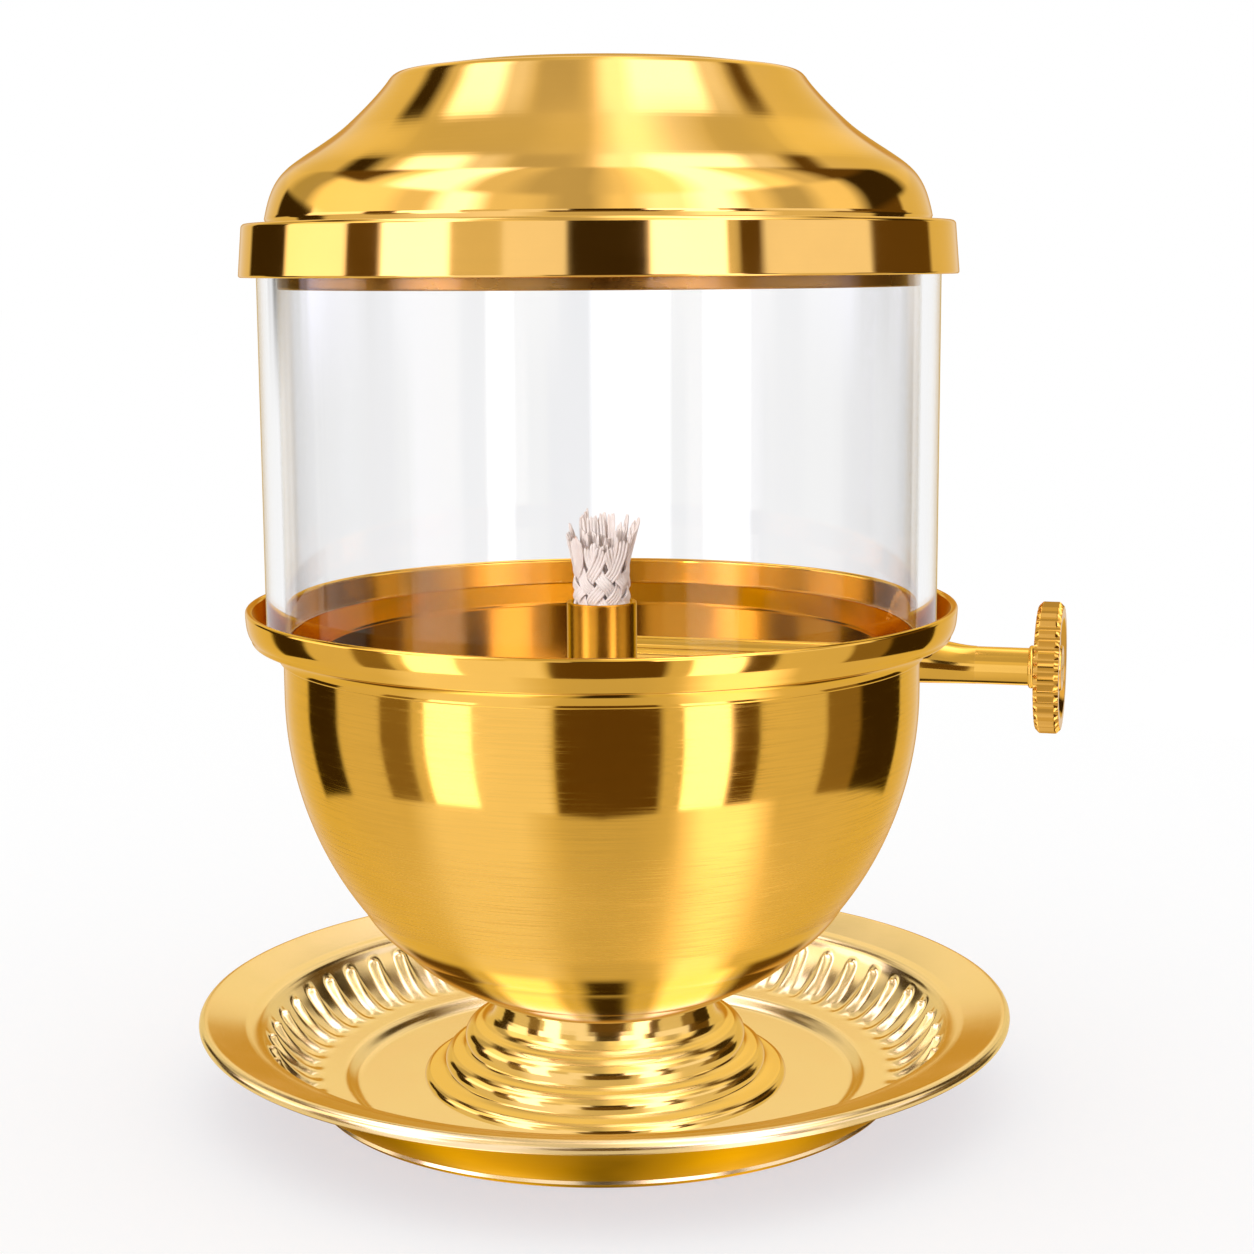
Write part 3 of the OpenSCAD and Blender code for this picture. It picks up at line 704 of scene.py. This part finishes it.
foot_r, foot_z, foot_top = reach("foot")
neck_r = 18.5
bowl_flat_r = 19.5
foot_h = foot_top - foot_z
levels = [foot_z + part * foot_h for part in (0.65, 0.39, 0.35, 0.155, 0.125, 0)]
tier_r = [neck_r + (foot_r - neck_r) * part for part in (0.43, 0.71, 1)]
high_tier = tier((neck_r, foot_top - 0.6), tier_r[0], levels[0], levels[1])
middle_tier = tier(high_tier[-1], tier_r[1], levels[2], levels[3])
low_tier = tier(middle_tier[-1], tier_r[2], levels[4], levels[5])
foot_roof = foot_top - 3
foot = lathe("foot_turned", (
    [(bolt_hole_r, foot_roof), (bolt_hole_r, foot_top)]
    + [(bowl_flat_r, foot_top), (bowl_flat_r, foot_top - 0.3)]
    + high_tier + middle_tier[1:] + low_tier[1:]
    + [(foot_r - 4.8, foot_z), (neck_r - 2.4, foot_roof)]
))
foot.data.materials.append(foot_brass)
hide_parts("foot")
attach(foot, "base")


# The bowl is spun from sheet brass and brushed on the lathe, so fine lines run round it.
# It holds the oil or ghee, and its flat is clamped between the burner and the foot.
gold = (0.80, 0.42, 0.052, 1)
bowl_brass = brass(
    "bowl_brass", gold, 0.05, 0.03, 2e-6, 0.6, brushed=0.2, satin=(31.5, 33.5, 44, 58), satin_rough=0.17,
)
# The bowl's inside and the gallery's inner side take a dark orange brass with no coat: painted shade and
# painted gold-in-gold reflection, since brass is kept out of brass's mirror images.
inside_painted_shade_brass = brass(
    "inside_painted_shade_brass", (0.46, 0.17, 0.01, 1), 0.1, 0.08, 1e-6, 0.4, coat=0.0, brim=(0.8, 0.4, 0.04, 1),
)

bowl_r, bowl_z, bowl_top = reach("bowl")
bowl_wall = 1.2
bowl_depth = 55.9
bowl_mid = bowl_z + bowl_depth * math.sqrt(1 - (bowl_flat_r / bowl_r) ** 2)
sweep_start = math.acos(bowl_flat_r / bowl_r)
band_levels = (bowl_z + 3.4, bowl_z + 9.8, bowl_z + 16.5)
band_swell = 0.3


def band_out(level):
    """How far the bowl's two turned bands stand out from its curve at a level."""
    for low, high in zip(band_levels, band_levels[1:]):
        if low < level < high:
            part = (level - low) / (high - low)
            return 4 * band_swell * part * (1 - part)
    return 0.0


def bowl_side(inset, steps=136):
    """The bowl's curve from its flat to its neck, moved inwards by a wall."""
    points = []
    for i in range(steps + 1):
        angle = sweep_start * (1 - i / steps)
        level = bowl_mid - (bowl_depth - inset) * math.sin(angle)
        out = band_out(level) if inset == 0 else 0
        points.append(((bowl_r - inset + out) * math.cos(angle), level - out * math.sin(angle)))
    return points


bowl_floor = bowl_z + bowl_wall
inside = [p for p in bowl_side(bowl_wall) if p[1] > bowl_floor + 0.3]
bowl = lathe("bowl_spun", (
    [(bolt_hole_r, bowl_z)] + bowl_side(0) + [(bowl_r, bowl_top, 0.2), (bowl_r - bowl_wall, bowl_top, 0.2)]
    + inside[::-1] + [(inside[0][0] - 0.8, bowl_floor, 0.4), (bolt_hole_r, bowl_floor)]
))
bowl.data.materials.append(bowl_brass)


def in_painted_bowl_shade(radius, level, up):
    """The bowl's faces inside the middle of its wall, where shade is painted."""
    drop = max(0, bowl_mid - level) / (bowl_depth - bowl_wall / 2)
    wall_r = (bowl_r - bowl_wall / 2) * math.sqrt(max(0, 1 - drop ** 2))
    return level > bowl_z + bowl_wall / 2 and radius < wall_r


finish_where(bowl, inside_painted_shade_brass, in_painted_bowl_shade)
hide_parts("bowl")
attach(bowl, "base")


# The gallery ring is a spun collar soldered round the bowl's neck: a hem, the flared collar, the seat
# that the glass stands on with a bead inside it, and a flange that slopes down into the bowl.
gallery_brass = brass("gallery_brass", gold, 0.05, 0.04, 0.5e-6, 0.2)

lip_r, hem_z, lip_z = reach("gallery_ring")
seat_z = lip_z - 4.7
collar_r = lip_r - 0.9
collar_wall = 1.05
hem_r = bowl_r + 0.75
bead_r = 51.7
flange_r = bowl_r - 6
collar_side = (
    bend((hem_r + 0.04, hem_z + 0.6), (hem_r + 0.4, seat_z - 1.6), (collar_r - 2.6, seat_z - 0.9),
         (collar_r - 0.7, seat_z - 0.7), 12)
    + arc((collar_r - 0.7, seat_z), 0.7, -75, -20, 6)
    + bend((collar_r, seat_z + 0.1), (collar_r + 0.6, seat_z + 0.9), (lip_r - 0.05, seat_z + 2.0),
           (lip_r, lip_z - 0.6), 10)
)
gallery = lathe("gallery_collar", (
    [(bowl_r + 0.05, hem_z, 0.15), (hem_r, hem_z, 0.3)]
    + collar_side
    + arc((lip_r - collar_wall / 2, lip_z - collar_wall / 2), collar_wall / 2, 0, 180, 12)
    + arc((collar_r - collar_wall - 0.6, seat_z + 0.6), 0.6, 0, -90, 5)
    + [(bead_r, seat_z)]
    + arc((bead_r - 0.7, seat_z + 0.1), 0.7, 0, 120, 8)
    + [
        (flange_r, seat_z - 2.1, 0.3), (flange_r, seat_z - 2.94, 0.3), (bead_r - 1.4, bowl_top),
        (bowl_r + 0.05, bowl_top),
    ]
))
gallery.data.materials.append(gallery_brass)


def in_gallery(radius, level, up):
    """The flange, the seat and the collar's inner side, where shade is painted."""
    flange = radius < bowl_r and level > seat_z - 3
    collar = radius < lip_r - collar_wall and level > seat_z - 0.1
    return flange or collar


finish_where(gallery, inside_painted_shade_brass, in_gallery)
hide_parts("gallery_ring")
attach(gallery, "base")


# One through bolt with its washer and nut clamps burner, bowl, foot and plate together.
# They are machined brass and stay as cut, and a rubber washer keeps the oil in.
def dress(material, *names):
    """Gives CAD pieces their finish and keeps them out of mirror images."""
    for name in names:
        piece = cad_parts[name]
        piece.data.materials.clear()
        piece.data.materials.append(material)
        piece.visible_glossy = False


machined = (0.62, 0.4, 0.11, 1)
bolt_brass = brass("bolt_brass", machined, 0.25, 0.15, 1.5e-6)
dress(bolt_brass, "base_bolt", "base_washer", "base_nut")

seal_rubber, wire, sockets = finish_material("seal_rubber")
grain = wire.node("ShaderNodeTexNoise", None, {
    "Vector": wire.node("ShaderNodeTexCoord", out="Object"), "Scale": 900, "Detail": 2,
})
feed(
    sockets,
    Base_Color=grain.tint((0.03, 0.03, 0.03, 1), (0.06, 0.055, 0.05, 1)),
    Roughness=grain * 0.2 + 0.6,
    Normal=grain.node("ShaderNodeBump", None, {"Distance": 2e-5, "Height": grain}, "Normal"),
)
dress(seal_rubber, "seal_washer")


# The burner stands in the bowl: a turned flange and socket, the drawn tube that guides the wick, and
# the drum behind it that the star wheel turns in. The tube is slotted for the wheel and has oil ports.
tube_brass = brass("tube_brass", (0.56, 0.23, 0.016, 1), 0.2, 0.06, 0.6e-6, coat=0.0)
dress(bolt_brass, "burner_foot", "wheel_box", "wheel_box_cap")

tube_r, tube_z, tube_top = reach("wick_tube")
tube_wall = 0.6
spindle_low, spindle_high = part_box("spindle")
spindle_y = (spindle_low.y + spindle_high.y) / 2 / mm
spindle_z = (spindle_low.z + spindle_high.z) / 2 / mm
slot_w, slot_h = 3.6, 8.8
port_r = 2.2
port_z = tube_z + 10.7
tube = lathe("wick_guide", [
    (tube_r - tube_wall, tube_z, 0.1), (tube_r, tube_z, 0.1), (tube_r, tube_top, 0.25),
    (tube_r - tube_wall, tube_top, 0.25),
], 160)
tube.data.materials.append(tube_brass)


def cut_out(piece, shape):
    """Cuts a closed shape out of a piece."""
    mesh = bpy.data.meshes.new("cutter")
    shape.to_mesh(mesh)
    shape.free()
    tool = bpy.data.objects.new("cutter", mesh)
    bpy.context.scene.collection.objects.link(tool)
    modifier = piece.modifiers.new("cut", "BOOLEAN")
    modifier.operation = "DIFFERENCE"
    modifier.solver = "EXACT"
    modifier.object = tool
    depsgraph = bpy.context.evaluated_depsgraph_get()
    result = bpy.data.meshes.new_from_object(piece.evaluated_get(depsgraph))
    piece.modifiers.remove(modifier)
    bpy.data.objects.remove(tool)
    result.set_sharp_from_angle(angle=math.radians(38))
    piece.data = result


wheel_slot = bmesh.new()
slot_place = Matrix.Translation((0, tube_r * mm, spindle_z * mm))
slot_size = Matrix.Diagonal((slot_w * mm, 2 * tube_r * mm, slot_h * mm, 1))
bmesh.ops.create_cube(wheel_slot, size=1, matrix=slot_place @ slot_size)
cut_out(tube, wheel_slot)
for side in (45, 135):
    port = bmesh.new()
    crosswise = Matrix.Rotation(math.radians(side), 4, "Z") @ Matrix.Rotation(math.radians(90), 4, "Y")
    bmesh.ops.create_cone(
        port, cap_ends=True, segments=32, radius1=port_r * mm, radius2=port_r * mm, depth=6 * tube_r * mm,
        matrix=Matrix.Translation((0, 0, port_z * mm)) @ crosswise,
    )
    cut_out(tube, port)
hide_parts("wick_tube")
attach(tube, "base")


# The winder's sleeve is a drawn brass tube from the burner out through the bowl and the collar.
# A trumpet-shaped ferrule closes the hole outside, a saddle ring seals it inside, a thin ring ends it.
spindle_place = (0, spindle_y * mm, spindle_z * mm)
on_spindle = Matrix.Translation(spindle_place) @ Matrix.Rotation(math.radians(90), 4, "Y")
spindle_frame = {"Location": spindle_place, "Rotation": (0, math.radians(90), 0)}


def lay_over(piece):
    """Turns a piece from the lamp's axis to the spindle's."""
    piece.data.transform(on_spindle)


sleeve_brass = brass("sleeve_brass", gold, 0.05, 0.04, 0.5e-6, 0.0, spindle_frame)
dress(bolt_brass, "sleeve_lock_ring")

sleeve_start, sleeve_end = (corner.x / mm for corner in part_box("spindle_sleeve"))
sleeve_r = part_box("spindle_sleeve")[1].y / mm - spindle_y
sleeve_bore = 1.55
sleeve = lathe("winder_sleeve", [
    (sleeve_bore, sleeve_start, 0.1), (sleeve_r, sleeve_start, 0.2), (sleeve_r, sleeve_end, 0.2),
    (sleeve_bore, sleeve_end, 0.1),
], 120)
lay_over(sleeve)
sleeve.data.materials.append(sleeve_brass)
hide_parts("spindle_sleeve")
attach(sleeve, "base")

ferrule_r = sleeve_r + 1.5
ferrule_bore = sleeve_r + 0.02
ferrule_start = bowl_r - 3
ferrule_nose = lip_r + 2.6
ferrule_slimmest = 0.12
ferrule = lathe("winder_ferrule", (
    [(ferrule_bore, ferrule_start)]
    + bend((ferrule_r, ferrule_start), (ferrule_r - 0.1, lip_r - 3.5), (sleeve_r + 0.2, lip_r - 1.5),
           (sleeve_r + 0.06, ferrule_nose), 24)
    + [(ferrule_bore, ferrule_nose)]
), 160, keep=True)
lay_over(ferrule)
for point in ferrule.data.vertices:
    aside_y = point.co.y / mm - spindle_y
    aside_z = point.co.z / mm - spindle_z
    around_r = math.hypot(aside_y, aside_z)
    upper = (aside_z / around_r + 1) / 2
    flare = (around_r - ferrule_bore) * (ferrule_slimmest + (1 - ferrule_slimmest) * upper)
    slim = (ferrule_bore + flare) / around_r
    point.co.y = (spindle_y + aside_y * slim) * mm
    point.co.z = (spindle_z + aside_z * slim) * mm
ferrule.data.materials.append(sleeve_brass)
lamp_side = lathe("lamp_side", (
    [(0, hem_z - 9), (bowl_r, hem_z - 9), (bowl_r, hem_z), (hem_r, hem_z)]
    + collar_side
    + [(lip_r, lip_z), (0, lip_z)]
), keep=True)
filed = bmesh.new()
filed.from_mesh(lamp_side.data)
bpy.data.objects.remove(lamp_side)
cut_out(ferrule, filed)
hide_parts("sleeve_ferrule")
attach(ferrule, "base")

ring_start, ring_end = (corner.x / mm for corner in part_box("sleeve_end_ring"))
ring_w = ring_end - ring_start
end_ring_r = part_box("sleeve_end_ring")[1].y / mm - spindle_y
end_ring = lathe("winder_end_ring", (
    [(sleeve_r + 0.05, ring_start)]
    + arc((end_ring_r - ring_w / 2, ring_start + ring_w / 2), ring_w / 2, -80, 80, 10)
    + [(sleeve_r + 0.05, ring_end)]
), 120)
lay_over(end_ring)
end_ring.data.materials.append(sleeve_brass)
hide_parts("sleeve_end_ring")
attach(end_ring, "base")


# Inside, the spindle carries a star wheel that is locked by a cross pin and bites into the wick.
# All three are machined brass and are hidden by the tube and the drum.
spindle_brass = brass("spindle_brass", machined, 0.2, 0.12, 1e-6, 0.0, spindle_frame)
dress(spindle_brass, "spindle", "wick_wheel", "wheel_pin", "knob_screw")


# The knob is turned brass with a scalloped grip, a dished face and a raised hub ring.
# It is pressed on the end of the spindle and held by a small slotted screw.
knob_brass = brass("knob_brass", (0.66, 0.32, 0.04, 1), 0.06, 0.06, 0.6e-6, 0.0, spindle_frame)

knob_low, knob_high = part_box("knob")
knob_x, knob_far = knob_low.x / mm, knob_high.x / mm
knob_r = knob_high.y / mm - spindle_y
knob_bevel = 0.7
knob_hub_r = 3.9
knob_bore = 1.5
screw_hole_r = 2.2
dish = 0.8
scallop_count = 34
scallop_turns = 12 * scallop_count
scallop_depth = 0.9
knob_profile = [tuple(p) for p in braced(eased([
    (knob_bore, knob_x), (knob_r - knob_bevel, knob_x, 0.2), (knob_r, knob_x + knob_bevel, 0.25),
    (knob_r, knob_far - knob_bevel, 0.25), (knob_r - knob_bevel, knob_far, 0.2),
    (knob_r - 2.4, knob_far, 0.2), (knob_r - 3.2, knob_far - dish, 0.2), (knob_hub_r, knob_far - dish, 0.1),
    (knob_hub_r - 0.3, knob_far, 0.2), (screw_hole_r, knob_far, 0.15), (screw_hole_r, knob_far - dish),
    (knob_bore, knob_far - dish),
]))]
groove_r = knob_r - scallop_depth
knob = lathe("knob_turned", knob_profile, scallop_turns, keep=True)
store(knob, scallop_turns, "out", [min(0, groove_r - p[0]) * mm for p in knob_profile])
store(knob, scallop_turns, "up", [0.0] * len(knob_profile))
store(knob, scallop_turns, "half", [0.5] * len(knob_profile))
grow(knob, scooped_ring, Count=scallop_count, Sharpness=1.0, Material=knob_brass)
lay_over(knob)
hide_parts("knob")
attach(knob, "winder")


# The wick is a round tubular braid of soft cotton, sixteen flat ends of four yarns each, over a loose
# core. Above the tube the braid opens into a tuft, and its ends are cut ragged, higher at the back.
_, wick_z, wick_top = reach("wick")
ends_each_way = 8
yarns_in_end = 4
yarn_r = 0.26
yarn_gap = 0.47
braid_r = 4.1
braid_rise = 0.42
braid_turn = math.tan(math.radians(38)) / braid_r
braid_open = tube_top + 3.6
yarn_sides = 6
press_low, press_high = spindle_z - 17.2, spindle_z + 9.8
press_half = 1.9
press_y = 3.7
hidden_step, shown_step = 0.9, 0.4
shown_from = tube_top - 4
core_ends = 13
core_r = 3.0
core_spiral = 0.382
draw = random.Random(11)


def sweep(points, outs, wide, thin, sides):
    """Rings of points round a path: wide across the braid and thin through it."""
    rings = []
    for i, here in enumerate(points):
        run = (points[min(i + 1, len(points) - 1)] - points[max(i - 1, 0)]).normalized()
        along_braid = run.cross(outs[i]).normalized()
        through = along_braid.cross(run)
        taper = (1.0, 0.85, 0.4)[max(0, i - len(points) + 3)]
        ring = []
        for k in range(sides):
            angle = 2 * math.pi * k / sides
            aside = along_braid * (wide * taper * math.cos(angle))
            ring.append(here + aside + through * (thin * taper * math.sin(angle)))
        rings.append(ring)
    return rings


def press(point):
    """Cotton is pressed flat where the star wheel runs."""
    if press_low < point.z < press_high and abs(point.x) < press_half:
        point.y = min(point.y, press_y)
    return point


wick_points = []
wick_faces = []
wick_marks = []


def add_yarn(points, outs, wide, thin, shade):
    """Adds one yarn to the wick, with its length, its side and its shade at every point."""
    first = len(wick_points)
    run = 0.0
    for i, ring in enumerate(sweep(points, outs, wide, thin, yarn_sides)):
        if i:
            run += (points[i] - points[i - 1]).length
        for k, point in enumerate(ring):
            wick_points.append(press(point) * mm)
            wick_marks.append((run, k / yarn_sides, shade))
    for i in range(len(points) - 1):
        for k in range(yarn_sides):
            j = (k + 1) % yarn_sides
            low = first + i * yarn_sides
            high = low + yarn_sides
            wick_faces.append((low + k, low + j, high + j, high + k))
    wick_faces.append(tuple(first + k for k in range(yarn_sides))[::-1])
    last = first + (len(points) - 1) * yarn_sides
    wick_faces.append(tuple(last + k for k in range(yarn_sides)))


def polar(angle, radius, level):
    """A point by its turn, its radius and its level."""
    return Vector((radius * math.cos(angle), radius * math.sin(angle), level))


def tip_level(angle):
    """Where an end is cut: high at the back of the braid and lower at the front, as seen by the camera."""
    front = math.cos(angle - (camera_turn - math.pi / 2))
    return wick_top - 0.2 - 4.4 * max(0, front) ** 1.2 - 1.8 * (1 - abs(front))


def add_end(start_angle, way_round, start_level, start_r, weave_rise, lean_out):
    """Adds one flat end of yarns: it interlaces up to the opening, then leans out and is cut."""
    straighten = draw.uniform(3.5, 9.0)
    twist = draw.uniform(-0.8, 0.8)
    kink = draw.uniform(-0.4, 0.4)
    shade = draw.random()
    open_angle = start_angle + way_round * braid_turn * (braid_open - wick_z)
    cut = tip_level(open_angle + way_round * braid_turn * straighten / 2 + kink) - draw.uniform(0, 1.6)
    for yarn in range(yarns_in_end):
        place_in_end = yarn - (yarns_in_end - 1) / 2
        spread = draw.uniform(-0.3, 0.3)
        bulge = draw.uniform(-0.2, 0.2)
        yarn_cut = cut - draw.uniform(0, 0.6)
        points = []
        outs = []
        level = start_level
        while level < yarn_cut:
            up = max(0.0, level - braid_open)
            rise = up / (wick_top - braid_open)
            swing = min(up, straighten) - min(up, straighten) ** 2 / (2 * straighten)
            angle = start_angle + way_round * braid_turn * (min(level, braid_open) - wick_z + swing)
            angle += kink * rise * rise
            weave = math.cos(ends_each_way * braid_turn * (level - wick_z)) * way_round
            fade = max(0.0, 1 - up / 3.0)
            radius = start_r + weave_rise * weave * fade + lean_out * rise ** 1.5 + bulge * rise
            step = yarn_gap * (place_in_end + spread * rise) * (1 + 0.6 * rise)
            out = Vector((math.cos(angle), math.sin(angle), 0))
            side = Vector((-math.sin(angle), math.cos(angle), 0))
            slope = Vector((side.x * way_round * 0.6, side.y * way_round * 0.6, 1)).normalized()
            out.rotate(Matrix.Rotation(twist * rise, 3, slope))
            points.append(polar(angle, radius, level) + slope.cross(out) * step)
            outs.append(out)
            level += hidden_step if level < shown_from else shown_step
        add_yarn(points, outs, yarn_r * 1.05, yarn_r, shade)


for way_round in (1, -1):
    for end in range(ends_each_way):
        start_angle = 2 * math.pi * end / ends_each_way
        add_end(start_angle, way_round, wick_z, braid_r, braid_rise, draw.uniform(1.2, 2.9))
for i in range(core_ends):
    start_r = core_r * math.sqrt((i + 0.5) / core_ends)
    add_end(2 * math.pi * i * core_spiral, 0.3, tube_top - 8, start_r, 0, draw.uniform(0.4, 1.6))

wick_mesh = bpy.data.meshes.new("wick_braid")
wick_mesh.from_pydata(wick_points, [], wick_faces)
for name, column in (("run", 0), ("side", 1), ("shade", 2)):
    values = [mark[column] for mark in wick_marks]
    wick_mesh.attributes.new(name, "FLOAT", "POINT").data.foreach_set("value", values)
wick = smooth("wick_braid", wick_mesh, 60)

cotton, wire, sockets = finish_material("cotton")


def mark(name):
    """A number that the braid holds at each point."""
    return wire.node("ShaderNodeAttribute", {"attribute_name": name}, out="Fac")


spot = wire.node("ShaderNodeTexCoord", out="Object")
fibres = wire.node("ShaderNodeTexNoise", None, {"Vector": spot, "Scale": 1800, "Detail": 2})
winding = mark("run") * 5.5 + mark("side") * (2 * math.pi)
ply = winding.math("SINE", winding)
soil = mark("shade") * 0.5 + fibres * 0.5
feed(
    sockets,
    Base_Color=soil.tint((0.88, 0.77, 0.73, 1), (0.96, 0.91, 0.89, 1)),
    Roughness=0.9,
    Sheen_Weight=0.3,
    Specular_IOR_Level=0.2,
    Normal=wire.node("ShaderNodeBump", None, {
        "Strength": 0.6, "Distance": 6e-5, "Height": ply * 0.4 + fibres,
    }, "Normal"),
)
wick.data.materials.append(cotton)
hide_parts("wick")
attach(wick, "wick")


# The chimney is a plain length of clear drawn glass tube with fire-polished ends.
# It stands loose on the gallery's seat and lifts straight out.
glass_r, glass_low, glass_top = reach("glass_chimney")
glass_wall = 3.0
glass_bore_r = glass_r - glass_wall
fire_round = 0.8
chimney = lathe("chimney_tube", [
    (glass_bore_r, glass_low, fire_round), (glass_r, glass_low, fire_round),
    (glass_r, glass_top, fire_round), (glass_bore_r, glass_top, fire_round),
], 256)
chimney.visible_glossy = True
clear_glass, wire, sockets = finish_material("clear_glass")
parts = wire.node("ShaderNodeSeparateXYZ", None, {0: wire.node("ShaderNodeTexCoord", out="Object")})
drawn = wire.node("ShaderNodeCombineXYZ", None, {
    0: parts, 1: parts.beside("Y"), 2: parts.beside("Z") * 0.05,
})
ripple = wire.node("ShaderNodeTexNoise", None, {"Vector": drawn, "Scale": 60, "Detail": 1})
# The glass turns grey where it is seen edge-on: painted shade for the dark lines along the tube's walls.
painted_edge_shade = wire.node("ShaderNodeLayerWeight", None, {"Blend": 0.5}, "Facing").ease(0.78, 1.0)
feed(
    sockets,
    Base_Color=painted_edge_shade.tint(white, (0.42, 0.45, 0.46, 1)),
    Roughness=0.0,
    IOR=1.47,
    Specular_Tint=(0.3, 0.26, 0.12, 1),
    Transmission_Weight=1.0,
    Normal=wire.node("ShaderNodeBump", None, {"Strength": 1, "Distance": 2e-6, "Height": ripple}, "Normal"),
)
rays = wire.node("ShaderNodeLightPath", out="Is Diffuse Ray")
lit_through = rays.math("MAXIMUM", rays, rays.beside("Is Shadow Ray"))
mix_in(clear_glass, lit_through, wire.node("ShaderNodeBsdfTransparent"))
chimney.data.materials.append(clear_glass)
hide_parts("glass_chimney")
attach(chimney, "chimney")


# The lid is spun from sheet brass: a skirt over the glass, a shoulder, and a dome that curves in and up
# to a flat top. Vent holes are punched through the top, and a ring soldered inside centres it.
lid_brass = brass("lid_brass", (0.80, 0.44, 0.085, 1), 0.035, 0.04, 0.5e-6, -0.8)
ring_brass = brass("ring_brass", (0.34, 0.15, 0.02, 1), 0.2, 0.1, 1.0e-6)

skirt_r, skirt_z, lid_top = reach("lid")
lid_wall = 1.2
skirt_top_r = skirt_r - 0.65
shoulder_top = skirt_z + 8.4
shoulder_z = shoulder_top - lid_wall
dome_r = skirt_r - 4.35
crown_r = dome_r - 19.9
plateau_r = dome_r - 29.5
vent_count = 10
vent_r = 3.5
vent_circle_r = 17.0
vent_turn = math.radians(18)
punch_depth = 6.0


def dome(inset):
    """The dome's curve from its foot, over its swell, hollow and crown, to the edge of the flat top."""
    z = shoulder_top - inset
    foot_end = (dome_r - inset, z + 0.7)
    swell_end = (dome_r - 3.4 - inset * 0.8, z + 8.1)
    hollow_end = (dome_r - 13.5 - inset * 0.5, z + 15.4)
    crown_start = (crown_r - inset * 0.3, z + 22.0)
    crown_end = (crown_r - 2.2, z + 23.6)
    return (
        [(dome_r - 0.3 - inset, z)]
        + bend(foot_end, (dome_r - 0.7 - inset, z + 4), (dome_r - 1.5 - inset, z + 6.3), swell_end, 20)
        + bend(swell_end, (dome_r - 5.2 - inset * 0.7, z + 10.0), (dome_r - 10.4 - inset * 0.6, z + 12.6),
               hollow_end, 16)[1:]
        + bend(hollow_end, (dome_r - 15.4 - inset * 0.4, z + 17.1), (dome_r - 18.3 - inset * 0.3, z + 19.9),
               crown_start, 12)[1:]
        + bend(crown_start, (crown_r - 0.6 - inset * 0.2, z + 22.9), (crown_r - 1.1, z + 23.4),
               crown_end, 8)[1:]
        + [(plateau_r, z + 24.6)]
    )


lid = lathe("lid_spun", (
    [(0, lid_top - lid_wall)] + dome(lid_wall)[:0:-1]
    + [
        (dome_r - lid_wall, shoulder_z, 0.3), (skirt_top_r - lid_wall, shoulder_z, 0.3),
        (skirt_r - lid_wall, skirt_z, 0.3), (skirt_r, skirt_z, 0.35),
    ]
    + arc((skirt_top_r - 0.7, shoulder_top - 0.7), 0.7, 0, 90, 8)
    + dome(0) + [(0, lid_top)]
), 256)

vent_holes, given = recipe("vent_holes", {
    "Count": "NodeSocketInt", "Hole Radius": "NodeSocketFloat", "Circle Radius": "NodeSocketFloat",
    "Level": "NodeSocketFloat",
})
circle = given["Count"].node("GeometryNodeMeshCircle", None, {
    "Vertices": given["Count"], "Radius": given["Circle Radius"],
})
turned = circle.node("GeometryNodeTransform", None, {
    "Geometry": circle, "Rotation": (0, 0, vent_turn),
    "Translation": circle.node("ShaderNodeCombineXYZ", None, {"Z": given["Level"]}),
})
punch = circle.node("GeometryNodeMeshCylinder", None, {
    "Vertices": 40, "Radius": given["Hole Radius"], "Depth": punch_depth * mm,
})
punches = circle.node("GeometryNodeInstanceOnPoints", None, {"Points": turned, "Instance": punch})
punches = circle.node("GeometryNodeRealizeInstances", None, {"Geometry": punches})
punched = circle.node("GeometryNodeMeshBoolean", {"operation": "DIFFERENCE", "solver": "EXACT"}, {
    "Mesh 1": given["Geometry"], "Mesh 2": punches,
})
close_recipe(punched, given)
grow(lid, vent_holes, **{
    "Count": vent_count, "Hole Radius": vent_r * mm, "Circle Radius": vent_circle_r * mm,
    "Level": (lid_top - lid_wall / 2) * mm, "Material": lid_brass,
})
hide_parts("lid")
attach(lid, "lid")

ring_r, ring_low, ring_top = reach("lid_inner_ring")
rest_z = ring_top - 1
inner_r = glass_bore_r - 0.3
inner_ring = lathe("lid_centring_ring", [
    (inner_r - 1, ring_low, 0.3), (inner_r, ring_low, 0.3), (inner_r, rest_z), (ring_r, rest_z, 0.2),
    (ring_r, ring_top, 0.2), (inner_r - 1, ring_top),
])
inner_ring.data.materials.append(ring_brass)
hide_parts("lid_inner_ring")
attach(inner_ring, "lid")
